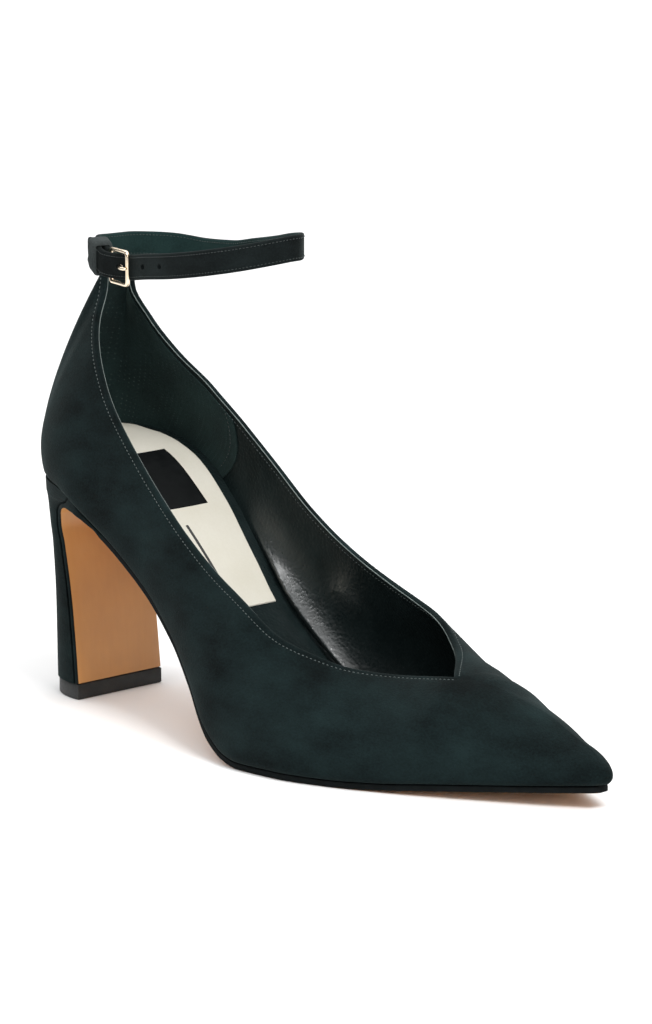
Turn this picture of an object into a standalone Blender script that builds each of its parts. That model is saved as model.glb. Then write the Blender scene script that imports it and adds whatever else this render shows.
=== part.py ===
"""Right shoe of a pointed suede pump with an ankle strap and a covered block heel.

The sizes below are in millimetres: x runs forward to the toe, y to the inner side of the foot and
z up from the floor. The finished objects are in metres, with the origin under the shoe's middle.
"""

import bpy
import bmesh
import numpy as np

MM = 0.001
GAP = 0.3                 # clearance between pieces that touch
WALL = 1.8                # suede and lining together
SOLE_THICK = 2.0
FLAP_THICK = 1.6          # sole leather where it covers the front of the heel
SOLE_INSET = 1.0          # sole edge inside the upper's lower edge
INSOLE_CLEAR = 0.7
LIFT_HEIGHT = 5.0
HEEL_ROUNDNESS = 2.1      # exponent of the heel's rounded back, 2 is an ellipse
HEEL_RING = 24            # steps around the heel's back

UPPER_ROWS = 11           # steps from the lower edge up to the topline
THROAT_AT = 79.2          # station where the topline meets in the V of the throat
TOE_AT = 100.0            # last station, at the middle of the toe
BACK_TO = 9.0             # the stations are closer together up to here
BACK_STEPS = 9
QUARTER_STEPS = 23
VAMP_STEPS = 12
NEAR_STATION = 0.05       # step to either side that gives a direction

STRAP_WIDE = 7.8
STRAP_THICK = 1.6
STRAP_STEPS = 84
FINE_STRAP_STEPS = 8 * STRAP_STEPS
STRAP_TIP = 5.0           # length over which the free end narrows
STRAP_TIP_WIDE = 3.6
HOLE_X = (56.8, 68.8, 77.6)
HOLE_RADIUS = 0.9
HOLE_SIDES = 12
PRONG_SLOT = 1.5          # half length of the hole that the prong fills

KEEPER_FROM_X = 41.4
KEEPER_TO_X = 46.2
KEEPER_THICK = 1.0
KEEPER_STEPS = 5
LAYER_SPACING = 2.35      # between the middles of the two strap layers at the keeper

BUCKLE_BACK = (50.3, -18.45)
BUCKLE_FRONT = (62.0, -22.1)
BUCKLE_TALL = 9.9         # between the middles of the upper and lower bars
BUCKLE_MID_Z = 138.95
BUCKLE_BAR = 0.65         # radius
BUCKLE_CORNER = 1.2
BUCKLE_CORNER_STEPS = 4
PRONG_RADIUS = 0.5
PRONG_SLANT = 0.8         # half length of its slanted stretch through the strap
PRONG_PAST_BAR = 0.8      # its tip lies this far past the middle of the front bar

SHARP_DEG = 35            # steeper edges are shaded as corners

# Level of the last's underside along the shoe: x, z
LAST_BOTTOM = (
    (6.0, 70.0), (20.0, 70.0), (29.0, 69.3), (36.0, 67.1), (42.0, 64.0), (49.0, 59.9),
    (57.0, 54.9), (66.0, 48.4), (78.0, 38.7), (90.0, 28.4), (100.0, 20.1), (108.0, 12.4),
    (115.0, 6.9), (122.0, 3.5), (130.0, 2.3), (160.0, 2.3), (175.0, 2.8), (190.0, 4.0),
    (205.0, 5.1), (220.0, 6.2), (236.0, 7.4),
)

# Insole thickness along the shoe, thick where the heel pad lies: x, thickness
INSOLE_THICK = (
    (6.0, 12.9), (20.0, 12.4), (30.0, 11.5), (38.0, 12.0), (45.0, 12.5), (60.0, 10.0), (75.0, 7.4),
    (88.0, 4.7), (100.0, 2.9), (110.0, 2.5), (236.0, 2.2),
)

# Sections of the upper from the middle of the back (0) to the toe (100). Each runs from the lower
# edge (foot) to the topline (top). "Swell" and "rise" bend it outward and upward above the lower
# edge, "reach" and "drop" give its direction below the topline.
SIDE_COLUMNS = ("at", "foot_x", "foot_y", "top_x", "top_y", "top_z", "swell", "rise", "reach", "drop")
OUTER_QUARTER = (
    (0.0, 9.5, 0.0, 31.5, 0.0, 137.7, 6.6, 14.0, 20.5, 30.0),
    (2.6, 10.6, -7.0, 32.0, -3.2, 137.7, 6.0, 14.5, 20.0, 32.0),
    (4.7, 13.0, -12.5, 33.3, -5.6, 136.8, 5.0, 15.0, 17.2, 31.0),
    (6.5, 16.0, -16.5, 33.6, -7.0, 130.5, 4.6, 15.0, 14.6, 26.0),
    (8.7, 20.5, -20.3, 34.8, -11.2, 122.0, 4.7, 14.5, 11.0, 19.0),
    (12.2, 29.0, -24.8, 41.5, -17.6, 111.5, 4.9, 13.0, 5.5, 14.0),
    (17.0, 42.0, -27.3, 52.0, -21.8, 97.5, 4.0, 10.0, 3.5, 10.0),
    (24.0, 57.0, -26.7, 64.5, -24.2, 85.2, 3.5, 9.0, 3.0, 9.0),
    (31.5, 72.0, -26.3, 77.5, -25.6, 73.2, 3.5, 9.0, 2.5, 9.0),
    (38.5, 86.0, -28.2, 90.5, -26.5, 62.5, 3.0, 9.0, 3.0, 9.0),
    (45.7, 100.0, -33.2, 104.5, -27.3, 53.0, 2.5, 10.0, 3.5, 10.0),
    (53.0, 116.0, -39.6, 119.0, -28.0, 45.4, 2.8, 11.0, 4.5, 12.0),
    (59.0, 131.0, -42.0, 131.0, -26.8, 38.0, 2.5, 11.0, 6.0, 9.0),
    (64.5, 146.0, -41.0, 143.0, -22.8, 33.5, 2.0, 11.0, 8.0, 6.0),
    (69.7, 160.0, -37.2, 154.0, -17.2, 30.4, 1.6, 11.0, 9.0, 4.0),
    (74.8, 173.0, -32.0, 165.0, -10.3, 29.4, 1.5, 11.0, 10.0, 3.0),
    (THROAT_AT, 184.0, -26.9, 182.6, -5.0, 30.9, 1.4, 11.0, 12.0, 4.0),
)
INNER_QUARTER = (
    (0.0, 9.5, 0.0, 31.5, 0.0, 137.7, 6.6, 14.0, 20.5, 30.0),
    (2.6, 10.6, 7.0, 32.0, 3.2, 137.7, 6.0, 14.5, 20.0, 30.0),
    (4.7, 13.0, 12.5, 33.2, 5.4, 136.5, 5.2, 15.0, 17.8, 28.0),
    (6.5, 16.0, 16.3, 33.2, 6.4, 128.5, 4.8, 15.0, 15.0, 23.0),
    (8.7, 20.5, 19.6, 35.4, 11.4, 118.6, 4.7, 14.5, 11.0, 18.0),
    (12.2, 29.0, 23.2, 41.2, 17.2, 107.8, 5.2, 13.0, 5.5, 13.0),
    (17.0, 42.0, 24.6, 51.5, 22.6, 97.0, 5.0, 11.0, 2.5, 10.0),
    (24.0, 57.0, 22.6, 65.5, 24.6, 85.2, 5.5, 10.0, 1.5, 9.0),
    (31.5, 72.0, 20.0, 79.5, 25.1, 74.0, 6.5, 10.0, 1.0, 9.0),
    (38.5, 86.0, 19.5, 93.5, 25.0, 63.4, 7.0, 10.0, 1.2, 9.0),
    (45.7, 100.0, 22.0, 107.0, 24.8, 55.5, 6.0, 11.0, 2.5, 10.0),
    (53.0, 116.0, 28.0, 121.0, 24.4, 49.3, 4.0, 12.0, 4.0, 12.0),
    (59.0, 131.0, 33.4, 134.0, 23.3, 45.2, 2.5, 12.0, 6.0, 11.0),
    (64.5, 146.0, 36.8, 147.0, 21.2, 42.0, 1.8, 12.0, 8.0, 8.0),
    (69.7, 160.0, 36.7, 157.5, 17.0, 39.8, 1.5, 12.0, 9.0, 6.8),
    (74.8, 173.0, 34.0, 168.5, 10.8, 35.2, 1.4, 12.5, 11.0, 3.6),
    (THROAT_AT, 184.0, 30.4, 182.6, -5.0, 30.9, 1.4, 12.5, 16.5, -5.6),
)
# Ahead of the throat both sides end on one line along the vamp, so they share the "top" columns. The
# line starts on the outer side of the ridge, which the inner side rises to.
VAMP_COLUMNS = ("at", "outer_x", "outer_y", "inner_x", "inner_y", "top_x", "top_y", "top_z",
                "swell", "rise", "outer_reach", "outer_drop", "inner_reach", "inner_drop")
VAMP = (
    (84.0, 196.0, -20.7, 196.0, 25.4, 189.5, -1.5, 30.2, 1.2, 10.0, 12.0, 3.2, 15.5, -3.4),
    (89.0, 208.0, -14.2, 208.0, 19.4, 200.0, 2.4, 26.9, 1.0, 9.0, 9.0, 1.0, 11.0, 0.5),
    (93.5, 219.0, -8.2, 219.0, 13.8, 212.0, 4.4, 22.6, 0.8, 7.0, 6.5, 0.9, 6.5, 0.9),
    (97.2, 227.6, -2.8, 227.6, 9.2, 221.5, 4.5, 18.2, 0.9, 5.5, 4.5, 0.8, 4.5, 0.8),
    (99.0, 232.6, 0.8, 232.6, 6.5, 226.5, 4.2, 16.4, 1.3, 4.5, 4.2, 0.6, 4.2, 0.6),
    (100.0, 234.2, 4.0, 234.2, 4.0, 229.5, 4.0, 14.8, 1.6, 4.0, 4.2, 0.5, 4.2, 0.5),
)

# The sole's underside where it turns down over the heel front, from the floor up, with the sole's
# half widths, and the line of the heel's back at each step: x, z, outer, inner, back x, back z
BREAST = (
    (32.6, 5.3, -18.5, 16.4, 11.5, 5.3),
    (31.2, 20.0, -18.4, 16.3, 11.8, 20.0),
    (29.0, 36.0, -18.2, 16.2, 12.2, 36.0),
    (26.6, 49.0, -18.2, 16.4, 12.4, 49.0),
    (25.5, 55.0, -18.6, 17.0, 12.2, 56.0),
    (26.3, 58.6, -19.5, 18.0, 11.8, 60.5),
    (29.0, 60.9, -21.4, 19.8, 11.1, 64.2),
    (33.0, 61.9, -23.4, 21.6, 10.5, 66.6),
    (37.5, 61.7, -25.2, 23.0, 10.3, 67.6),
    (42.0, 60.6, -26.2, 23.6, 10.3, 67.6),
    (46.0, 59.0, -26.2, 23.2, 10.3, 67.6),
    (49.0, 57.7, -26.1, 22.8, 10.3, 67.6),
)
HEEL_TOP_ROW = 7
SEAT_OVERHANG = 4.0       # the heel's top reaches this far past its front
SEAT_HALF = (-25.2, 22.8)
SEAT_FROM_X = 33.0        # from here on the flap thickens until it fills the room under the upper
SEAT_BLEND = 4.0
FILL_TURNS = 6
SOLE_FROM_X = 53.0
SOLE_TO_X = 232.0
SOLE_STEPS = 60
SOLE_EASE = 1.15          # steps grow shorter towards the toe
EDGE_SAMPLES = 400
FLAP_STEPS = 30
HEEL_STEPS = 21

# Middle of the ankle strap, from its free end over the buckle, round the front of the ankle and the
# back, to the end that holds the buckle: x, y, z
STRAP_PATH = (
    (35.5, -13.9, 143.2), (40.0, -17.2, 142.2), (45.0, -19.2, 140.8), (50.0, -20.3, 139.3),
    (55.0, -20.2, 139.1), (60.0, -20.0, 139.2), (70.0, -21.6, 140.4), (83.0, -23.0, 141.9),
    (97.0, -21.6, 144.0), (108.0, -15.5, 146.2), (114.0, -8.0, 147.9), (115.2, -3.0, 148.4),
    (111.5, 2.8, 148.2), (101.0, 9.2, 146.8), (88.0, 14.8, 144.4), (74.0, 19.3, 142.1),
    (61.0, 21.6, 140.1), (49.0, 21.8, 139.7), (40.0, 18.5, 140.7), (34.5, 11.5, 141.4),
    (32.3, 3.5, 141.8), (32.3, -3.0, 141.8), (34.5, -9.3, 142.2), (39.5, -13.9, 142.3),
    (45.0, -16.6, 141.0), (49.0, -17.7, 139.8),
)

COLOURS = {
    "suede": (0.014, 0.022, 0.020, 1.0),
    "sock": (0.70, 0.66, 0.57, 1.0),
    "tan": (0.46, 0.24, 0.10, 1.0),
    "lift": (0.02, 0.021, 0.021, 1.0),
    "gold": (0.86, 0.66, 0.42, 1.0),
}


def smooth(rows, at):
    """Curve through the rows, by their first column, that does not swing past them."""
    table = np.asarray(rows, float)
    knots, values = table[:, 0], table[:, 1:]
    step = np.diff(knots)[:, None]
    slope = np.diff(values, axis=0) / step
    tangent = np.vstack([slope[:1], np.zeros_like(slope[1:]), slope[-1:]])
    before, after = slope[:-1], slope[1:]
    near, far = step[1:] + 2 * step[:-1], 2 * step[1:] + step[:-1]
    same = before * after > 0
    bottom = np.where(same, far * after + near * before, 1.0)
    tangent[1:-1] = np.where(same, (near + far) * before * after / bottom, 0.0)
    at = np.atleast_1d(np.asarray(at, float))
    i = np.clip(np.searchsorted(knots, at, side="right") - 1, 0, len(knots) - 2)
    h = step[i]
    t = ((at - knots[i])[:, None]) / h
    start = (1 + 2 * t) * (1 - t) ** 2 * values[i] + t * (1 - t) ** 2 * h * tangent[i]
    end = t * t * (3 - 2 * t) * values[i + 1] - t * t * (1 - t) * h * tangent[i + 1]
    return start + end


def along(points, count):
    """The given number of evenly spaced points on a smooth curve through the points."""
    points = np.asarray(points, float)
    length = np.concatenate([[0.0], np.cumsum(np.linalg.norm(np.diff(points[:, :2], axis=0), axis=1))])
    rows = np.column_stack([length, points])
    return smooth(rows, np.linspace(0.0, length[-1], count))


def left_normals(points):
    """Unit normals to the left of a plane curve's direction."""
    run = np.gradient(points[:, :2], axis=0)
    run /= np.linalg.norm(run, axis=1)[:, None]
    return np.column_stack([-run[:, 1], run[:, 0]])


def last_bottom(x):
    return smooth(LAST_BOTTOM, x)[:, 0]


def insole_thickness(x):
    return smooth(INSOLE_THICK, x)[:, 0]


def side_table(side):
    """All rows of one side, back to toe, under the quarter's column names."""
    quarter = OUTER_QUARTER if side == "outer" else INNER_QUARTER
    rows = [list(row) for row in quarter]
    for row in VAMP:
        cell = dict(zip(VAMP_COLUMNS, row))
        cell["foot_x"], cell["foot_y"] = cell[side + "_x"], cell[side + "_y"]
        cell["reach"], cell["drop"] = cell[side + "_reach"], cell[side + "_drop"]
        rows.append([cell[name] for name in SIDE_COLUMNS])
    return np.array(rows)


def ring_table():
    """Both sides as one closed run of stations, the inner side at negative stations."""
    outer, inner = side_table("outer"), side_table("inner")
    mirrored = inner[1:-1].copy()
    mirrored[:, 0] *= -1.0
    ring = np.vstack([mirrored[::-1], outer])
    before, after = ring.copy(), ring.copy()
    before[:, 0] -= 2 * TOE_AT
    after[:, 0] += 2 * TOE_AT
    return np.vstack([before, ring, after])


def foot_ring(stations):
    """Points of the upper's lower edge and the directions that point out of the shoe there."""
    edge = ring_table()[:, :3]
    run = smooth(edge, stations + NEAR_STATION) - smooth(edge, stations - NEAR_STATION)
    run /= np.linalg.norm(run, axis=1)[:, None]
    return smooth(edge, stations), np.column_stack([run[:, 1], -run[:, 0]])


def top_points(stations):
    """Points of the topline behind the throat and of the line along the vamp ahead of it."""
    outer, inner = side_table("outer"), side_table("inner")
    top = [SIDE_COLUMNS.index(name) for name in ("at", "top_x", "top_y", "top_z")]
    behind_outer = outer[outer[:, 0] <= THROAT_AT][:, top]
    behind_inner = inner[inner[:, 0] <= THROAT_AT][1:, top]
    behind_inner[:, 0] *= -1.0
    topline = np.vstack([behind_inner[::-1], behind_outer])
    ridge = outer[outer[:, 0] >= THROAT_AT][:, top]
    far = np.abs(stations)
    ahead = far > THROAT_AT
    points = np.where(ahead[:, None], smooth(ridge, far), smooth(topline, stations))
    step = smooth(ridge, np.minimum(far + NEAR_STATION, TOE_AT)) - smooth(ridge, far - NEAR_STATION)
    slope = np.where(ahead, step[:, 2] / np.where(ahead, step[:, 0], 1.0), 0.0)
    return points, slope


def upper_columns():
    """Outer surface of the upper: one curve for each station, from the lower edge to the top."""
    back = np.linspace(0.0, BACK_TO, BACK_STEPS + 1)
    quarter = np.linspace(BACK_TO, THROAT_AT, QUARTER_STEPS + 1)[1:]
    vamp = np.linspace(THROAT_AT, TOE_AT, VAMP_STEPS + 1)[1:]
    side = np.concatenate([back, quarter, vamp])
    stations = np.concatenate([side, -side[-2:0:-1]])
    foot, out = foot_ring(stations)
    top, slope = top_points(stations)
    ring = ring_table()
    shape = [SIDE_COLUMNS.index(name) for name in ("at", "swell", "rise", "reach", "drop")]
    swell, rise, reach, drop = smooth(ring[:, shape], stations).T
    low = np.column_stack([foot, last_bottom(foot[:, 0])])
    above = low + np.column_stack([out * swell[:, None], rise])
    under = top + np.column_stack([out * reach[:, None], slope * out[:, 0] * reach - drop])
    v = np.linspace(0.0, 1.0, UPPER_ROWS + 1)[None, :, None]
    columns = (1 - v) ** 3 * low[:, None] + 3 * v * (1 - v) ** 2 * above[:, None]
    columns = columns + 3 * v * v * (1 - v) * under[:, None] + v ** 3 * top[:, None]
    return side, stations, columns, out


def upper_index(side, stations):
    """Vertex numbers of the upper's grid, where both sides share the ridge ahead of the throat."""
    count, rows = len(stations), UPPER_ROWS + 1
    index = np.arange(count * rows).reshape(count, rows)
    last = len(side) - 1
    for k, at in enumerate(side[:-1]):
        if k > 0 and at >= THROAT_AT - 1e-6:
            index[2 * last - k, -1] = index[k, -1]
    return index


def vertex_normals(points, quads):
    """Unit normals at grid points, from the areas around them."""
    normals = np.zeros_like(points)
    corner = points[quads]
    area = np.cross(corner[:, 2] - corner[:, 0], corner[:, 3] - corner[:, 1])
    for i in range(4):
        np.add.at(normals, quads[:, i], area)
    size = np.linalg.norm(normals, axis=1)
    return normals / np.where(size > 0, size, 1.0)[:, None]


def upper_surfaces():
    """Outer and inner points of the upper, its quads and its grid of vertex numbers."""
    side, stations, columns, out = upper_columns()
    index = upper_index(side, stations)
    following = np.roll(index, -1, axis=0)
    corners = [index[:, :-1], following[:, :-1], following[:, 1:], index[:, 1:]]
    quads = np.stack(corners, axis=-1).reshape(-1, 4)
    outer = columns.reshape(-1, 3)
    inner = outer - WALL * vertex_normals(outer, quads)
    rim = index[:, 0]
    inner[rim, :2] = outer[rim, :2] - WALL * out
    inner[rim, 2] = last_bottom(inner[rim, 0])
    return side, outer, inner, quads, index, out


def upper():
    side, outer, inner, quads, index, out = upper_surfaces()
    shift = len(outer)
    faces = [tuple(quad) for quad in quads] + [tuple(quad[::-1] + shift) for quad in quads]
    bottom = index[:, 0]
    for a, b in zip(bottom, np.roll(bottom, -1)):
        faces.append((b, a, a + shift, b + shift))
    throat = int(np.argmin(np.abs(side - THROAT_AT)))
    topline = np.concatenate([index[-throat:, -1], index[:throat + 1, -1]])
    for a, b in zip(topline[:-1], topline[1:]):
        faces.append((a, b, b + shift, a + shift))
    return np.vstack([outer, inner]), faces


def insole():
    """Closed pad inside the upper: its side follows the inner wall, its top is thicker at the heel."""
    side, outer, inner, quads, index, out = upper_surfaces()
    wall = inner[index]
    low = wall[:, 0].copy()
    low[:, :2] -= INSOLE_CLEAR * out
    low[:, 2] = last_bottom(low[:, 0]) + GAP
    level = wall[:, 0, 2] + insole_thickness(wall[:, 0, 0])
    high = np.array([[np.interp(z, line[:, 2], line[:, 0]), np.interp(z, line[:, 2], line[:, 1]), z]
                     for line, z in zip(wall, level)])
    high[:, :2] -= INSOLE_CLEAR * out
    high[:, 2] = last_bottom(high[:, 0]) + insole_thickness(high[:, 0])
    count, last = len(low), len(side) - 1
    faces = []
    for k in range(count):
        n = (k + 1) % count
        faces.append((k, n, n + count, k + count))
    for k in range(last):
        a, b, c, d = k, k + 1, 2 * last - k - 1, (2 * last - k) % count
        strip = tuple(dict.fromkeys((a, b, c, d)))
        faces.append(strip[::-1])
        faces.append(tuple(i + count for i in strip))
    return np.vstack([low, high]), faces


def sole_edges(x):
    """The sole's outer and inner edges at the given places along the shoe."""
    stations = np.linspace(BACK_TO, TOE_AT, EDGE_SAMPLES)
    edges = []
    for sign in (1.0, -1.0):
        foot, out = foot_ring(sign * stations)
        edge = foot - SOLE_INSET * out
        edges.append(np.interp(x, edge[:, 0], edge[:, 1]))
    return edges


def sole_stations():
    """Underside of the sole from the floor up the heel front and on to the toe: x, z, outer, inner."""
    ease = 1 - (1 - np.linspace(0.0, 1.0, SOLE_STEPS)) ** SOLE_EASE
    x = SOLE_FROM_X + (SOLE_TO_X - SOLE_FROM_X) * ease
    level = np.column_stack([x, last_bottom(x)])
    under = level - (GAP + SOLE_THICK) * left_normals(level)
    outer, inner = sole_edges(x)
    sole = np.column_stack([under, outer, inner])
    flap = np.array([row[:4] for row in BREAST])
    return np.vstack([along(np.vstack([flap, sole[:1]]), FLAP_STEPS + 1)[:-1], sole])


def sheet(stations, thickness):
    """Closed sheet between the stations and their offset, one strip across for each step."""
    normal = left_normals(stations)
    hidden = stations[:, :2] + thickness[:, None] * normal
    corners = []
    for line in (stations[:, :2], hidden):
        for edge in (2, 3):
            corners.append(np.column_stack([line[:, 0], stations[:, edge], line[:, 1]]))
    points = np.stack(corners, axis=1).reshape(-1, 3)
    faces = []
    for i in range(len(stations) - 1):
        a, b = 4 * i, 4 * i + 4
        faces += [(a, a + 1, b + 1, b), (a + 2, b + 2, b + 3, a + 3)]
        faces += [(a, b, b + 2, a + 2), (a + 1, a + 3, b + 3, b + 1)]
    end = 4 * (len(stations) - 1)
    faces += [(0, 2, 3, 1), (end, end + 1, end + 3, end + 2)]
    return points, faces


def sole_thickness(stations):
    """Thin over the heel front, then up to the upper, and even from the waist to the toe."""
    normal = left_normals(stations)
    past = np.clip((stations[:, 0] - SEAT_FROM_X) / SEAT_BLEND, 0.0, 1.0)
    upright = np.where(past > 0, normal[:, 1], 1.0)
    full = np.full(len(stations), SOLE_THICK)
    for _ in range(FILL_TURNS):
        level = last_bottom(stations[:, 0] + full * normal[:, 0]) - 2 * GAP
        full = np.where(past > 0, (level - stations[:, 1]) / upright, SOLE_THICK)
    flap = FLAP_THICK + past * (full - FLAP_THICK)
    return np.where(stations[:, 0] > SOLE_FROM_X, SOLE_THICK, flap)


def outsole():
    stations = sole_stations()
    return sheet(stations, sole_thickness(stations))


def rounded_section(front, back, outer, inner):
    """Outline with a flat front and a rounded back: front and back are (x, z)."""
    angle = np.linspace(0.0, np.pi, HEEL_RING + 1)
    power = 2.0 / HEEL_ROUNDNESS
    depth = np.sin(angle).clip(0.0) ** power
    across = np.sign(np.cos(angle)) * np.abs(np.cos(angle)) ** power
    y = np.where(across > 0, across * outer, -across * inner)
    x = front[0] + (back[0] - front[0]) * depth
    z = front[1] + (back[1] - front[1]) * depth
    return np.column_stack([x, y, z])


def stacked(rings):
    """Closed solid through the rings, each capped by strips across."""
    count = len(rings[0])
    faces = []
    for r in range(len(rings) - 1):
        for k in range(count):
            a, b = r * count + k, r * count + (k + 1) % count
            faces.append((a, b, b + count, a + count))
    end = (len(rings) - 1) * count
    for k in range((count - 1) // 2):
        strip = tuple(dict.fromkeys((k, k + 1, count - 2 - k, count - 1 - k)))
        faces.append(strip[::-1])
        faces.append(tuple(i + end for i in strip))
    return np.vstack(rings), faces


def heel():
    rows = np.array(BREAST[:HEEL_TOP_ROW + 1])
    steps = along(rows, HEEL_STEPS + 1)
    normal = left_normals(steps)
    front = steps[:, :2] + (FLAP_THICK + 2 * GAP) * normal
    rings = [rounded_section(f, s[4:6], s[2], s[3]) for f, s in zip(front, steps)]
    cap = rounded_section((front[-1, 0] + SEAT_OVERHANG, 0.0), (steps[-1, 4], 0.0), *SEAT_HALF)
    cap[:, 2] = last_bottom(cap[:, 0]) - GAP
    return stacked(rings + [cap])


def top_lift():
    x, z, outer, inner, back_x, back_z = BREAST[0]
    low = rounded_section((x, 0.0), (back_x, 0.0), outer, inner)
    high = rounded_section((x, LIFT_HEIGHT), (back_x, LIFT_HEIGHT), outer, inner)
    return stacked([low, high])


def strap_place(x):
    """Fine points along the strap's middle and the number of the first one past the given x."""
    line = along(STRAP_PATH, FINE_STRAP_STEPS)
    return line, int(np.argmax(line[:, 0] > x))


def swept_box(line, offsets, half_width):
    """Closed bar along a line, between two sideways offsets, with its own half width at each step."""
    normal = left_normals(line)
    points = []
    for p, n, half in zip(line, normal, half_width):
        for offset, up in ((offsets[0], -1), (offsets[1], -1), (offsets[1], 1), (offsets[0], 1)):
            points.append((p[0] + offset * n[0], p[1] + offset * n[1], p[2] + up * half))
    faces = []
    for i in range(len(line) - 1):
        for k in range(4):
            a, b = 4 * i + k, 4 * i + (k + 1) % 4
            faces.append((a, b, b + 4, a + 4))
    end = 4 * (len(line) - 1)
    faces += [(3, 2, 1, 0), (end, end + 1, end + 2, end + 3)]
    return np.array(points), faces


def ankle_strap():
    line = along(STRAP_PATH, STRAP_STEPS)
    run = np.concatenate([[0.0], np.cumsum(np.linalg.norm(np.diff(line, axis=0), axis=1))])
    taper = np.clip(run / STRAP_TIP, 0.0, 1.0) ** 0.5
    half = 0.5 * (STRAP_TIP_WIDE + (STRAP_WIDE - STRAP_TIP_WIDE) * taper)
    return swept_box(line, (-0.5 * STRAP_THICK, 0.5 * STRAP_THICK), half)


def strap_keeper():
    """Loop around both layers of the strap behind the buckle."""
    line, first = strap_place(KEEPER_FROM_X)
    last = strap_place(KEEPER_TO_X)[1]
    line = line[np.linspace(first, last, KEEPER_STEPS).astype(int)]
    normal = left_normals(line)
    free = 0.5 * STRAP_THICK + GAP
    hole = (-free, LAYER_SPACING + free)
    half = 0.5 * STRAP_WIDE + GAP
    rings = []
    rim = (hole[0] - KEEPER_THICK, hole[1] + KEEPER_THICK)
    for offsets, tall in ((hole, half), (rim, half + KEEPER_THICK)):
        corners = ((offsets[0], -tall), (offsets[1], -tall), (offsets[1], tall), (offsets[0], tall))
        rings.append([[(p[0] + o * n[0], p[1] + o * n[1], p[2] + up) for o, up in corners]
                      for p, n in zip(line, normal)])
    points = np.array(rings).reshape(-1, 3)
    shift = 4 * KEEPER_STEPS
    faces = []
    for k in range(4):
        n = (k + 1) % 4
        for i in range(KEEPER_STEPS - 1):
            a, b = 4 * i + k, 4 * i + n
            faces.append((a, a + 4, b + 4, b))
            faces.append((a + shift, b + shift, b + 4 + shift, a + 4 + shift))
        end = shift - 4
        faces.append((k, n, n + shift, k + shift))
        faces.append((end + k, end + k + shift, end + n + shift, end + n))
    return points, faces


def buckle_line():
    """Middle line of the buckle's four bars, with rounded corners."""
    back, front = np.array(BUCKLE_BACK), np.array(BUCKLE_FRONT)
    long = np.linalg.norm(front - back)
    run = (front - back) / long
    points = []
    for corner, (u, v) in enumerate(((1, 1), (-1, 1), (-1, -1), (1, -1))):
        for turn in np.linspace(0.0, 0.5 * np.pi, BUCKLE_CORNER_STEPS + 1):
            angle = corner * 0.5 * np.pi + turn
            s = 0.5 * long + u * (0.5 * long - BUCKLE_CORNER) + BUCKLE_CORNER * np.cos(angle)
            z = v * (0.5 * BUCKLE_TALL - BUCKLE_CORNER) + BUCKLE_CORNER * np.sin(angle)
            points.append((*(back + s * run), BUCKLE_MID_Z + z))
    return points


def prong_line():
    """Prong from the back bar, through its hole in the strap, to a rest on the front bar."""
    line, i = strap_place(HOLE_X[0])
    x, y, z = line[i]
    side = STRAP_THICK / 2 + GAP + PRONG_RADIUS
    rest = BUCKLE_FRONT[1] - BUCKLE_BAR - GAP - PRONG_RADIUS
    return [(BUCKLE_BACK[0] + BUCKLE_BAR + GAP, y + side, z), (x - PRONG_SLANT, y + side, z),
            (x, y, z), (x + PRONG_SLANT, y - side, z),
            (BUCKLE_FRONT[0] - GAP, rest, z), (BUCKLE_FRONT[0] + PRONG_PAST_BAR, rest, z)]


def material(name, metallic=0.0, roughness=0.8):
    shader = bpy.data.materials.get(name)
    if shader is None:
        shader = bpy.data.materials.new(name)
        shader.use_nodes = True
        node = shader.node_tree.nodes["Principled BSDF"]
        node.inputs["Base Color"].default_value = COLOURS[name]
        node.inputs["Metallic"].default_value = metallic
        node.inputs["Roughness"].default_value = roughness
        shader.diffuse_color = COLOURS[name]
    return shader


def add_mesh(name, solid, shader):
    """Object made from points in millimetres and faces, shaded smooth between its edges."""
    points, faces = solid
    mesh = bpy.data.meshes.new(name)
    mesh.from_pydata((points * MM).tolist(), [], [tuple(int(i) for i in face) for face in faces])
    work = bmesh.new()
    work.from_mesh(mesh)
    bmesh.ops.delete(work, geom=[v for v in work.verts if not v.link_faces], context="VERTS")
    bmesh.ops.recalc_face_normals(work, faces=work.faces)
    work.to_mesh(mesh)
    work.free()
    mesh.shade_smooth()
    mesh.set_sharp_from_angle(angle=np.radians(SHARP_DEG))
    mesh.materials.append(shader)
    return place(bpy.data.objects.new(name, mesh))


def add_rod(name, line, radius, closed, shader):
    """Round rod along the line."""
    curve = bpy.data.curves.new(name, "CURVE")
    curve.dimensions = "3D"
    curve.bevel_depth = radius * MM
    curve.bevel_resolution = 2
    curve.use_fill_caps = not closed
    spline = curve.splines.new("POLY")
    spline.points.add(len(line) - 1)
    for point, place_mm in zip(spline.points, line):
        point.co = (*(np.array(place_mm) * MM), 1.0)
    spline.use_cyclic_u = closed
    curve.materials.append(shader)
    return place(bpy.data.objects.new(name, curve))


def place(obj):
    bpy.context.scene.collection.objects.link(obj)
    obj.parent = shoe
    return obj


def cut_strap_holes(strap):
    """The row of holes in the strap, the first one long enough for the prong."""
    for number, x in enumerate(HOLE_X):
        line, i = strap_place(x)
        normal = left_normals(line[i - 1:i + 2])[1]
        long = PRONG_SLOT if number == 0 else HOLE_RADIUS
        ring = []
        for angle in np.linspace(0.0, 2 * np.pi, HOLE_SIDES, endpoint=False):
            s, up = long * np.cos(angle), HOLE_RADIUS * np.sin(angle)
            ring.append(line[i] + np.array([normal[1] * s, -normal[0] * s, up]))
        depth = np.array([*normal, 0.0]) * 2 * STRAP_THICK
        solid = stacked_plain(np.array(ring) - depth, np.array(ring) + depth)
        cutter = add_mesh(f"hole_{number + 1}", solid, material("suede"))
        cutter.hide_render = True
        cutter.display_type = "WIRE"
        cut = strap.modifiers.new(cutter.name, "BOOLEAN")
        cut.operation = "DIFFERENCE"
        cut.object = cutter


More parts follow.
